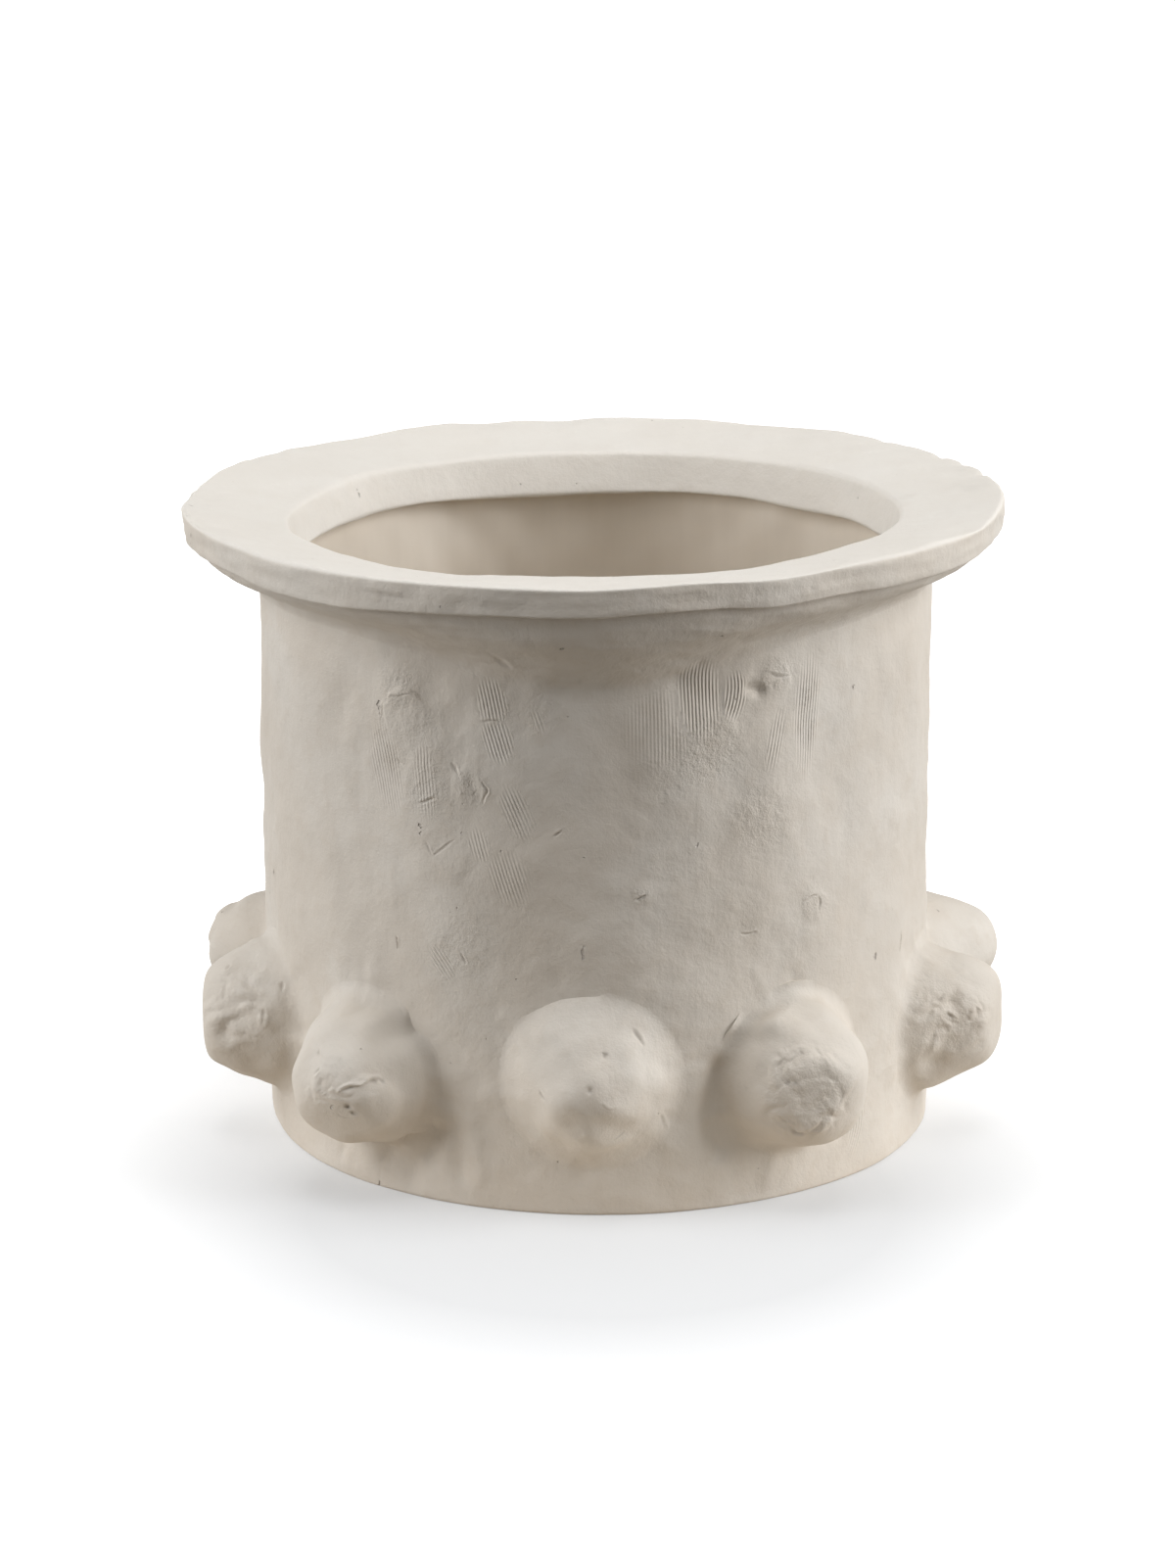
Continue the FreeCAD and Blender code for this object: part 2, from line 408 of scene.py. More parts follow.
@dataclass(frozen=True)
class Lap(Mark):
    """A smear of clay that thins out at one end and stops in a step at the other.

    Attributes:
        place: middle of the smear.
        length: size along the stroke.
        width: size across the stroke.
        turn: degrees from upright of the end with the step, positive to the left.
        lift: height of the step.
    """

    place: tuple[float, float]
    length: float
    width: float
    turn: float
    lift: float

    def box(self) -> tuple[np.ndarray, np.ndarray]:
        """Lowest and highest corner of the box that holds the smear.

        Returns:
            Both corners.
        """
        reach = max(self.length, self.width)
        middle = np.array([*self.place, 0.0])
        return middle - reach, middle + reach

    def rise(self, chart: np.ndarray) -> np.ndarray:
        """How far the clay stands out at each place.

        Args:
            chart: the places.

        Returns:
            One height for each place.
        """
        right = chart[:, 0] - self.place[0]
        up = chart[:, 1] - self.place[1]
        turn = math.radians(self.turn)
        along = 2 * (up * math.cos(turn) - right * math.sin(turn)) / self.length
        across = 2 * (right * math.cos(turn) + up * math.sin(turn)) / self.width
        ragged = np.hypot(along, across) + Lumps(9, 0.07, 72).at(chart)
        inside = 1 - soft_step(0.82, 1.0, ragged)
        return self.lift * inside * np.clip(0.5 + 0.5 * along, 0, 1) ** 1.5


@dataclass(frozen=True)
class FingerRidges:
    """A patch of the fine ridges that a fingertip prints in soft clay.

    Attributes:
        arc: middle of the patch round the wall.
        height: middle of the patch above the ground.
        width: size across the ridges.
        length: size along the ridges.
        turn: degrees from upright, positive with the top to the left.
        strength: share of the full ridge depth.
        bow: how far the ridges bend sideways at their ends.
    """

    arc: float
    height: float
    width: float
    length: float
    turn: float
    strength: float
    bow: float = 0.0

    def across_and_mask(self, chart: np.ndarray) -> tuple[np.ndarray, np.ndarray]:
        """Place across the ridges, and how strongly the patch shows.

        Args:
            chart: places on the unrolled wall.

        Returns:
            Millimetres across the ridges and a share from 0 to 1, for each place.
        """
        right = chart[:, 0] - self.arc
        up = chart[:, 1] - self.height
        turn = math.radians(self.turn)
        across = right * math.cos(turn) + up * math.sin(turn)
        along = up * math.cos(turn) - right * math.sin(turn)
        reach = np.sqrt((2 * across / self.width) ** 2 + (2 * along / self.length) ** 2)
        bent = across + self.bow * (2 * along / self.length) ** 2
        return bent, self.strength * (1 - soft_step(0.5, 1.2, reach))

    @staticmethod
    def combine(patches: tuple["FingerRidges", ...], chart: np.ndarray) -> tuple[np.ndarray, np.ndarray]:
        """Lay patches side by side, each fading out where a stronger one begins.

        Args:
            patches: the patches.
            chart: places on the unrolled wall.

        Returns:
            Millimetres across the ridges and a share, for each place.
        """
        across = np.zeros(len(chart))
        best = np.zeros(len(chart))
        second = np.zeros(len(chart))
        for patch in patches:
            step, shows = patch.across_and_mask(chart)
            across = np.where(shows > best, step, across)
            second = np.maximum(second, np.minimum(best, shows))
            best = np.maximum(best, shows)
        return across, best - second


@dataclass(frozen=True)
class Corner:
    """A corner of an outline that is turned about the pot's axis.

    Attributes:
        radius: distance from the axis.
        height: place along the axis.
        rounding: length that is rounded off on both sides of the corner.
        spacing: distance between the rows of vertices up to the next corner.
    """

    radius: float
    height: float
    rounding: float = 0.0
    spacing: float = 8.0


def rounded(before: Corner, corner: Corner, after: Corner) -> list[tuple[Vector, float]]:
    """Round off one corner of an outline.

    Args:
        before: corner that comes before it.
        corner: the corner itself.
        after: corner that comes after it.

    Returns:
        Places along the round, each with the row spacing of the run that follows it.
    """
    place, back, ahead = (Vector((c.radius, 0, c.height)) for c in (corner, before, after))
    if not corner.rounding:
        return [(place, corner.spacing)]
    start = place + (back - place).normalized() * corner.rounding
    end = place + (ahead - place).normalized() * corner.rounding
    pull = 0.55
    curve = interpolate_bezier(start, start.lerp(place, pull), end.lerp(place, pull), end, 6)
    return [(point, corner.spacing) for point in curve]


def turned(corners: list[Corner], steps: int) -> bmesh.types.BMesh:
    """Turn a closed outline about the upright axis.

    Args:
        corners: the outline in order, closed from the last corner to the first.
        steps: number of steps of the full turn, a multiple of 16.

    Returns:
        A closed mesh with its faces outwards.
    """
    shape = bmesh.new()
    outline = []
    for before, corner, after in zip(corners[-1:] + corners[:-1], corners, corners[1:] + corners[:1]):
        outline += rounded(before, corner, after)
    verts = [shape.verts.new(place) for place, _ in outline]
    runs = [shape.edges.new(pair) for pair in zip(verts, verts[1:] + verts[:1])]
    for run, (_, spacing) in zip(runs, outline):
        cuts = int(run.calc_length() / spacing)
        if cuts:
            bmesh.ops.subdivide_edges(shape, edges=[run], cuts=cuts)
    # Spin slows down with the square of its steps, so a sixteenth is spun and then doubled four times.
    turn = math.tau / 16
    bmesh.ops.spin(
        shape,
        geom=shape.verts[:] + shape.edges[:],
        cent=(0, 0, 0),
        axis=(0, 0, 1),
        angle=turn,
        steps=round(steps / 16),
    )
    for _ in range(4):
        copy = bmesh.ops.duplicate(shape, geom=shape.verts[:] + shape.edges[:] + shape.faces[:])
        verts = [item for item in copy["geom"] if isinstance(item, bmesh.types.BMVert)]
        bmesh.ops.rotate(shape, verts=verts, cent=(0, 0, 0), matrix=Matrix.Rotation(turn, 3, "Z"))
        turn *= 2
    bmesh.ops.remove_doubles(shape, verts=shape.verts, dist=0.001)
    bmesh.ops.recalc_face_normals(shape, faces=shape.faces)
    return shape


def places(shape: bmesh.types.BMesh) -> np.ndarray:
    """Vertices of a mesh as rows of three numbers."""
    return np.array([v.co for v in shape.verts])


def refine(shape: bmesh.types.BMesh, near: np.ndarray, cuts: int) -> None:
    """Divide the edges between marked vertices, so that narrow creases have enough faces.

    Args:
        shape: mesh to divide.
        near: one mark for each vertex.
        cuts: new vertices on each divided edge.
    """
    shape.verts.index_update()
    edges = [e for e in shape.edges if near[e.verts[0].index] and near[e.verts[1].index]]
    if edges:
        bmesh.ops.subdivide_edges(shape, edges=edges, cuts=cuts, use_grid_fill=True)


@dataclass
class Piece:
    """A finished piece of the pot, which stands for one CAD node or lies over one.

    Attributes:
        name: object name.
        slot: material slot; not used.
        finish: material.
        nodes: CAD nodes that the piece stands for.
        sharp_from: smallest angle between faces that shows as an edge.
    """

    name: str
    slot: str
    finish: bpy.types.Material
    nodes: tuple[str, ...] = ()
    sharp_from: float = 55.0

    def make(self, shape: bmesh.types.BMesh, moved: np.ndarray, **marks: np.ndarray) -> None:
        """Write the mesh in metres and hand it to the frame.

        Args:
            shape: mesh at rest, in millimetres.
            moved: final vertices, in millimetres.
            **marks: values for each vertex that the material reads.
        """
        mesh = bpy.data.meshes.new(self.name)
        shape.to_mesh(mesh)
        shape.free()
        mesh.vertices.foreach_set("co", (moved * MM).ravel())
        for name, values in marks.items():
            layer = mesh.attributes.new(name, "FLOAT", "POINT")
            layer.data.foreach_set("value", values.astype(np.float32))
        mesh.shade_smooth()
        mesh.set_sharp_from_angle(angle=math.radians(self.sharp_from))
        mesh.materials.append(self.finish)
        mesh.update()
        piece = bpy.data.objects.new(self.name, mesh)
        bpy.context.scene.collection.objects.link(piece)
        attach(piece, "root")
        if self.nodes:
            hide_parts(*self.nodes)
        log.info("%s: %d faces", self.name, len(mesh.polygons))


@dataclass(frozen=True)
class UnglazedStoneware:
    """Stoneware fired without glaze, smoothed by wet fingers.

    The eye sees a chalky warm grey with hardly any shine. It is painted paler where the rim faces up and in
    its throat, as painted light, and painted darker in tears, pits, pinholes and nicks, as painted shade;
    finger ridges, crumbs, pinholes and grit break up the light.
    """

    body: str = "D0C7BA"
    pale: str = "D6CFC4"
    warm: str = "CABFB0"
    # Colour of the painted light where the rim faces up and in its throat.
    slip: str = "D9D4CB"
    # Colour of the painted shade in tears, pits, pinholes and nicks.
    tear: str = "5E5145"
    cloud_size: float = 55.0
    wipe_size: float = 11.0
    wipe_depth: float = 0.9
    crumb_size: float = 4.5
    crumb_depth: float = 1.6
    brush_width: float = 2.2
    brush_length: float = 45.0
    brush_depth: float = 0.08
    pinhole_spacing: float = 19.0
    pinhole_depth: float = 0.5
    nick_spacing: float = 26.0
    nick_stretch: float = 2.5
    nick_turn: tuple[float, float, float] = (0.5, 0.7, 0.3)
    nick_bend: float = 0.2
    nick_depth: float = 0.9
    # Distance from a cell's middle, as a share of the spacing, where a speck begins and where it is deepest.
    pinhole_edge: tuple[float, float] = (0.032, 0.012)
    nick_edge: tuple[float, float] = (0.042, 0.018)
    # Share of painted shade in pinholes and nicks.
    hole_darkening: float = 0.3
    # Real grit is about 0.3 mm, which is under a pixel here, so it is drawn three times as coarse.
    grit_size: float = 0.9
    grit_depth: float = 0.09
    ridge_step: float = 1.7
    ridge_depth: float = 0.4
    roughness: float = 0.78
    ior: float = 1.45
    shine: float = 0.4

    def material(self) -> bpy.types.Material:
        """Make the material.

        Returns:
            A material that reads each piece's marks for painted shade in creases and pits, painted light
            where the rim faces up and in its throat, and crumbly, ridge_across and ridge_mask.
        """
        finish = bpy.data.materials.new("unglazed_stoneware_hand_smoothed")
        finish.use_nodes = True
        tree = finish.node_tree
        shader = tree.nodes["Principled BSDF"]
        shader.inputs["Roughness"].default_value = self.roughness
        shader.inputs["IOR"].default_value = self.ior
        shader.inputs["Specular IOR Level"].default_value = self.shine
        skin = self.patterns(tree)
        for name in ("tear", "slip", "crumbly", "ridge_across", "ridge_mask"):
            skin[name] = add(tree, "ShaderNodeAttribute", {"attribute_name": name}).outputs["Fac"]
        tree.links.new(self.colour(tree, skin), shader.inputs["Base Color"])
        bump = add(tree, "ShaderNodeBump", {"Strength": 1.0, "Distance": MM}, Height=self.relief(tree, skin))
        tree.links.new(bump.outputs["Normal"], shader.inputs["Normal"])
        return finish

    def patterns(self, tree: bpy.types.NodeTree) -> dict[str, bpy.types.NodeSocket]:
        """Add the patterns of the skin.

        Args:
            tree: node tree of the material.

        Returns:
            Strength of each pattern, by name.
        """
        place = add(tree, "ShaderNodeTexCoord").outputs["Object"]
        noise = "ShaderNodeTexNoise"
        noises = (
            ("clouds", self.cloud_size, 3.0, 0.5),
            ("wipes", self.wipe_size, 6.0, 0.6),
            ("crumbs", self.crumb_size, 5.0, 0.7),
            ("grit", self.grit_size, 2.0, 0.5),
        )
        skin = {}
        for name, size, detail, roughness in noises:
            settings = {"Scale": per_metre(size), "Detail": detail, "Roughness": roughness}
            skin[name] = add(tree, noise, settings, Vector=place).outputs["Fac"]

        across = per_metre(self.brush_width)
        along = {"Scale": (across, across, per_metre(self.brush_length))}
        drawn = add(tree, "ShaderNodeMapping", along, Vector=place).outputs["Vector"]
        skin["brushed"] = add(tree, noise, {"Scale": 1.0, "Detail": 3.0}, Vector=drawn).outputs["Fac"]

        pores = add(tree, "ShaderNodeTexVoronoi", {"Scale": per_metre(self.pinhole_spacing)}, Vector=place)
        apart = per_metre(self.nick_spacing)
        stretch = (apart, apart, per_metre(self.nick_stretch * self.nick_spacing))
        strewn = add(tree, "ShaderNodeMapping", {"Scale": stretch, "Rotation": self.nick_turn}, Vector=place)
        torn = add(tree, noise, {"Scale": per_metre(self.crumb_size), "Detail": 2.0}, Vector=place)
        bent = add(
            tree,
            "ShaderNodeVectorMath",
            {"operation": "MULTIPLY_ADD", 1: (self.nick_bend,) * 3},
            in_0=torn.outputs["Color"],
            in_2=strewn.outputs["Vector"],
        )
        cuts = add(tree, "ShaderNodeTexVoronoi", {"Scale": 1.0}, Vector=bent.outputs["Vector"])
        specks = (("pinholes", pores, self.pinhole_edge), ("nicks", cuts, self.nick_edge))
        for name, cells, (begins, deepest) in specks:
            edge = {"From Min": begins, "From Max": deepest}
            speck = add(tree, "ShaderNodeMapRange", edge, Value=cells.outputs["Distance"])
            skin[name] = speck.outputs["Result"]
        return skin

    def colour(
        self, tree: bpy.types.NodeTree, skin: dict[str, bpy.types.NodeSocket]
    ) -> bpy.types.NodeSocket:
        """Lay the tones of the skin over each other.

        Args:
            tree: node tree of the material.
            skin: strength of each pattern and mark, by name.

        Returns:
            The colour.
        """
        pale_patches = {"From Min": 0.4, "From Max": 0.7}
        paler = add(tree, "ShaderNodeMapRange", pale_patches, Value=skin["clouds"])
        warm_patches = {"From Min": 0.5, "From Max": 0.8, "To Max": 0.6}
        warmer = add(tree, "ShaderNodeMapRange", warm_patches, Value=skin["wipes"])
        # Pinholes and nicks get painted shade, on top of the painted shade in creases and pits.
        either = {"operation": "MAXIMUM"}
        open_skin = add(tree, "ShaderNodeMath", either, in_0=skin["pinholes"], in_1=skin["nicks"])
        darken = {"operation": "MULTIPLY_ADD", 1: self.hole_darkening}
        painted_shade = add(tree, "ShaderNodeMath", darken, in_0=open_skin.outputs[0], in_2=skin["tear"])
        # Random pale and warm patches, then the painted light, then the painted shade.
        layers = (
            (self.pale, paler.outputs["Result"]),
            (self.warm, warmer.outputs["Result"]),
            (self.slip, skin["slip"]),
            (self.tear, painted_shade.outputs[0]),
        )
        colour = None
        for tone, share in layers:
            settings = {"data_type": "RGBA", 6: linear(self.body), 7: linear(tone)}
            links = {"in_0": share, "in_6": colour} if colour else {"in_0": share}
            colour = add(tree, "ShaderNodeMix", settings, **links).outputs[2]
        return colour

    def relief(
        self, tree: bpy.types.NodeTree, skin: dict[str, bpy.types.NodeSocket]
    ) -> bpy.types.NodeSocket:
        """Add up the fine relief of the skin.

        Args:
            tree: node tree of the material.
            skin: strength of each pattern and mark, by name.

        Returns:
            Height in millimetres.
        """
        turns = {"operation": "MULTIPLY", 1: math.tau / self.ridge_step}
        angle = add(tree, "ShaderNodeMath", turns, in_0=skin["ridge_across"]).outputs[0]
        wave = add(tree, "ShaderNodeMath", {"operation": "SINE"}, in_0=angle).outputs[0]
        times = {"operation": "MULTIPLY"}
        patchy = add(tree, "ShaderNodeMath", times, in_0=skin["ridge_mask"], in_1=skin["wipes"])
        ridges = add(tree, "ShaderNodeMath", times, in_0=wave, in_1=patchy.outputs[0])
        crumbly = add(tree, "ShaderNodeMath", times, in_0=skin["crumbs"], in_1=skin["crumbly"])
        reliefs = (
            (ridges.outputs[0], self.ridge_depth),
            (crumbly.outputs[0], self.crumb_depth),
            (skin["wipes"], self.wipe_depth),
            (skin["brushed"], self.brush_depth),
            (skin["grit"], self.grit_depth),
            (skin["pinholes"], -self.pinhole_depth),
            (skin["nicks"], -self.nick_depth),
        )
        height = None
        for relief, depth in reliefs:
            links = {"in_0": relief, "in_2": height} if height else {"in_0": relief}
            settings = {"operation": "MULTIPLY_ADD", 1: depth, 2: 0.0}
            height = add(tree, "ShaderNodeMath", settings, **links).outputs[0]
        return height


@dataclass(frozen=True)
class InsideGlaze:
    """Thin satin glaze poured round the inside and out again.

    The eye sees a browner, wetter grey than the bare clay, with soft streaks where the glaze ran down and
    broad dull reflections.
    """

    body: str = "DFD5C6"
    thick: str = "D3C8B8"
    streak_width: float = 14.0
    streak_length: float = 120.0
    streak_depth: float = 0.1
    roughness: float = 0.34
    ior: float = 1.5

    def material(self) -> bpy.types.Material:
        """Make the material.

        Returns:
            The material.
        """
        finish = bpy.data.materials.new("satin_glaze_poured")
        finish.use_nodes = True
        tree = finish.node_tree
        shader = tree.nodes["Principled BSDF"]
        shader.inputs["Roughness"].default_value = self.roughness
        shader.inputs["IOR"].default_value = self.ior
        place = add(tree, "ShaderNodeTexCoord").outputs["Object"]
        across = per_metre(self.streak_width)
        stretch = {"Scale": (across, across, per_metre(self.streak_length))}
        drawn = add(tree, "ShaderNodeMapping", stretch, Vector=place).outputs["Vector"]
        streaks = add(tree, "ShaderNodeTexNoise", {"Scale": 1.0, "Detail": 3.0}, Vector=drawn).outputs["Fac"]
        tones = {"data_type": "RGBA", 6: linear(self.body), 7: linear(self.thick)}
        toned = add(tree, "ShaderNodeMix", tones, in_0=streaks)
        tree.links.new(toned.outputs[2], shader.inputs["Base Color"])
        fine = {"Strength": 1.0, "Distance": self.streak_depth * MM}
        bump = add(tree, "ShaderNodeBump", fine, Height=streaks)
        tree.links.new(bump.outputs["Normal"], shader.inputs["Normal"])
        return finish


@dataclass(frozen=True)
class RoughSpot:
    """A place where the skin tore into crumbs.

    Attributes:
        place: middle of the spot.
        radius: half width.
        strength: share of the full roughness.
    """

    place: tuple[float, float, float]
    radius: float
    strength: float = 1.0

    def share(self, chart: np.ndarray) -> np.ndarray:
        """How crumbly each place is."""
        apart = np.linalg.norm(chart - np.array(self.place), axis=1) / self.radius
        return self.strength * np.exp(-(apart**4))


@dataclass
class WorkedClay:
    """The hand-worked skin that wall, cove and collars share, so that their joins don't show."""

    pot: PotSizes
    swells: tuple[Lumps, ...] = (Lumps(95, 0.5, 11), Lumps(36, 0.3, 12), Lumps(13, 0.1, 13))
    folds: Lumps = Lumps(54, 0.45, 14)
    fold_draw: float = 0.35
    thumb_presses: int = 46
    thumb_radius: float = 11.0
    laps: int = 70
    # Share of painted shade in the wall's creases.
    crease_darkness: float = 0.2
    presses: list[Mark] = field(default_factory=list)
    creases: list[Crease] = field(default_factory=list)
    spots: tuple[RoughSpot, ...] = (
        RoughSpot((-96, 252, 0), 11),
        RoughSpot((-90, 226, 0), 24, 0.5),
        RoughSpot((-82, 206, 0), 14, 0.8),
        RoughSpot((-60, 208, 0), 9, 0.8),
        RoughSpot((-46, 243, 0), 13, 0.5),
        RoughSpot((-24, 246, 0), 12, 0.7),
        RoughSpot((-68, 130, 0), 18, 0.4),
        RoughSpot((52, 226, 0), 18, 0.8),
        RoughSpot((30, 214, 0), 14, 0.5),
        RoughSpot((88, 257, 0), 9, 0.9),
        RoughSpot((80, 190, 0), 17, 0.6),
        RoughSpot((110, 144, 0), 9, 0.7),
        RoughSpot((21, 158, 0), 5, 0.8),
        RoughSpot((-300, 230, 0), 26, 0.6),
        RoughSpot((300, 170, 0), 24, 0.6),
        RoughSpot((470, 225, 0), 22, 0.7),
    )
    ridges: tuple[FingerRidges, ...] = (
        FingerRidges(-48, 249, 15, 22, 12, 1.0),
        FingerRidges(-45, 231, 15, 22, 18, 1.0),
        FingerRidges(-104, 211, 20, 44, 10, 0.7),
        FingerRidges(-82, 209, 12, 36, 4, 0.6),
        FingerRidges(-36, 196, 14, 28, 22, 0.9),
        FingerRidges(-55, 180, 11, 17, 15, 0.6),
        FingerRidges(-26, 241, 7, 13, 20, 0.6),
        FingerRidges(49, 249, 22, 38, 0, 1.0),
        FingerRidges(66, 249, 13, 23, -9, 1.0, 2.0),
        FingerRidges(29, 236, 34, 38, 0, 0.35),
        FingerRidges(106, 235, 16, 56, -3, 1.0),
        FingerRidges(87, 226, 9, 30, -14, 0.7),
        FingerRidges(-40, 165, 20, 28, 16, 0.6),
        FingerRidges(-76, 120, 11, 19, 35, 0.6),
        FingerRidges(140, 26, 10, 32, -10, 0.7, 3.0),
        FingerRidges(-330, 180, 30, 48, 12, 0.35),
        FingerRidges(290, 215, 28, 54, -8, 0.4),
        FingerRidges(430, 150, 30, 42, 18, 0.35),
    )

    def __post_init__(self) -> None:
        """Lay out the presses, laps and creases of the wall."""
        self.presses += [
            Press(((-10, 262, 0), (36, 262, 0)), 12, 3.4),
            Press(((50, 252, 0),), 17, 0.9),
            Press(((-109, 17, 0), (-98, 14, 0)), 8, 5.0),
            Press(((-87, 22, 0), (-82, 34, 0)), 6, 4.5),
            Press(((-127, 241, 0),), 10, 1.0),
            Press(((56, 69, 0), (53, 46, 0), (57, 30, 0)), 6, 3.8),
            Press(((-74, 50, 0), (-68, 14, 0)), 4.5, 1.3),
            Press(((-62, 44, 0), (-58, 16, 0)), 4, -0.9),
            Press(((-59, 211, 0), (-56, 204, 0)), 3, 0.9),
            Press(((74, 252, 0), (79, 250, 0)), 2.6, 2.2, 2.0),
            Press(((48, 267, 0),), 1.8, 1.5),
            Press(((175, 164, 0),), 1.3, 1.0),
            Lap((-91, 238), 30, 27, 25, 1.3),
            Lap((-62, 225), 24, 18, -30, 0.7),
            Lap((-84, 208), 26, 20, 10, 0.7),
            Lap((-120, 236), 24, 20, 60, 0.6),
            Lap((-48, 262), 30, 16, -50, 0.7),
            Lap((-22, 243), 22, 16, -20, 0.6),
            Lap((58, 228), 34, 26, 20, 0.6),
            Lap((86, 250), 26, 18, -30, 0.7),
            Lap((30, 190), 40, 30, 30, 0.6),
            Lap((-70, 176), 28, 22, 200, 0.6),
        ]
        choice = np.random.default_rng(7)
        reach = math.pi * self.pot.wall_radius
        for _ in range(self.thumb_presses):
            place = (choice.uniform(-reach, reach), choice.uniform(110, 250), 0)
            radius = self.thumb_radius * choice.uniform(0.7, 1.5)
            self.presses.append(Press((place,), radius, choice.uniform(-0.5, 0.8), 1.3))
        for _ in range(self.laps):
            place = (choice.uniform(-reach, reach), choice.uniform(112, 258))
            length = choice.uniform(14, 40)
            width = length * choice.uniform(0.5, 1.0)
            self.presses.append(Lap(place, length, width, choice.normal(10, 50), choice.uniform(0.15, 0.5)))
        self.creases += [
            Crease(((-82, 179, 0), (-79, 172, 0)), 0.54, 0.48),
            Crease(((-79, 172, 0), (-72, 178, 0), (-67, 182, 0)), 0.54, 0.36),
            Crease(((-20, 186, 0), (-16, 189, 0)), 0.54, 0.6),
            Crease(((-53, 213, 0), (-51, 206, 0), (-53, 200, 0)), 0.54, 0.6),
            Crease(((-68, 219, 0), (-64, 213, 0)), 0.54, 0.6),
            Crease(((-85, 198, 0), (-76, 201, 0)), 0.6, 0.6),
            Crease(((-6, 265, 0), (-6, 254, 0)), 0.5, 0.72),
            Crease(((18, 156, 0), (23, 158, 0)), 0.66, 0.72),
            Crease(((69, 135, 0), (77, 134, 0)), 0.54, 0.54),
            Crease(((-101, 130, 0), (-100, 123, 0)), 0.5, 0.66),
            Crease(((-66, 126, 0), (-63, 121, 0)), 0.54, 0.6),
            Crease(((-106, 234, 0), (-104, 243, 0), (-98, 248, 0), (-86, 250, 0)), 0.6, 0.3, 0.7),
            Crease(((-54, 240, 0), (-44, 239, 0)), 0.5, 0.42),
            Crease(((-98, 218, 0), (-96, 213, 0)), 0.54, 0.6),
            Crease(((104, 146, 0), (112, 147, 0)), 0.54, 0.54),
            Crease(((112, 147, 0), (114, 140, 0)), 0.54, 0.54),
            Crease(((84, 258, 0), (95, 255, 0)), 0.6, 0.6),
            Crease(((180, 114, 0), (179, 103, 0)), 0.5, 0.54),
            Crease(((-310, 236, 0), (-298, 228, 0)), 0.54, 0.6),
            Crease(((305, 178, 0), (312, 166, 0)), 0.54, 0.6),
            Crease(((462, 228, 0), (470, 219, 0)), 0.54, 0.6),
        ]

    def out(self, chart: np.ndarray) -> np.ndarray:
        """How far the skin stands out from the true wall at each place of the unrolled wall.

        Args:
            chart: places on the unrolled wall.

        Returns:
            One height for each place.
        """
        on_wall = chart * (1, 1, 0)
        upright = self.pot.roll_up(on_wall)
        total = self.folds.at(upright * (1, 1, self.fold_draw))
        for swell in self.swells:
            total += swell.at(upright)
        turn = math.tau * self.pot.wall_radius
        overlap = 0.05 * turn
        for mark in [*self.presses, *self.creases]:
            mark.add_to(total, on_wall)
            low, high = mark.box()
            if high[0] > turn / 2 - overlap:
                mark.add_to(total, on_wall + (turn, 0, 0))
            if low[0] < overlap - turn / 2:
                mark.add_to(total, on_wall - (turn, 0, 0))
        return total

    def marks(self, chart: np.ndarray) -> dict[str, np.ndarray]:
        """Marks that the material reads, at each place of the unrolled wall.

        Args:
            chart: places on the unrolled wall.

        Returns:
            One value for each place, by the mark's name.
        """
        on_wall = chart * (1, 1, 0)
        across, mask = FingerRidges.combine(self.ridges, chart)
        return {
            # Painted shade in the creases.
            "tear": crease_shade_share(self.creases, on_wall, self.crease_darkness),
            "slip": np.zeros(len(chart)),
            "crumbly": np.max([spot.share(on_wall) for spot in self.spots], axis=0),
            "ridge_across": across,
            "ridge_mask": mask,
        }


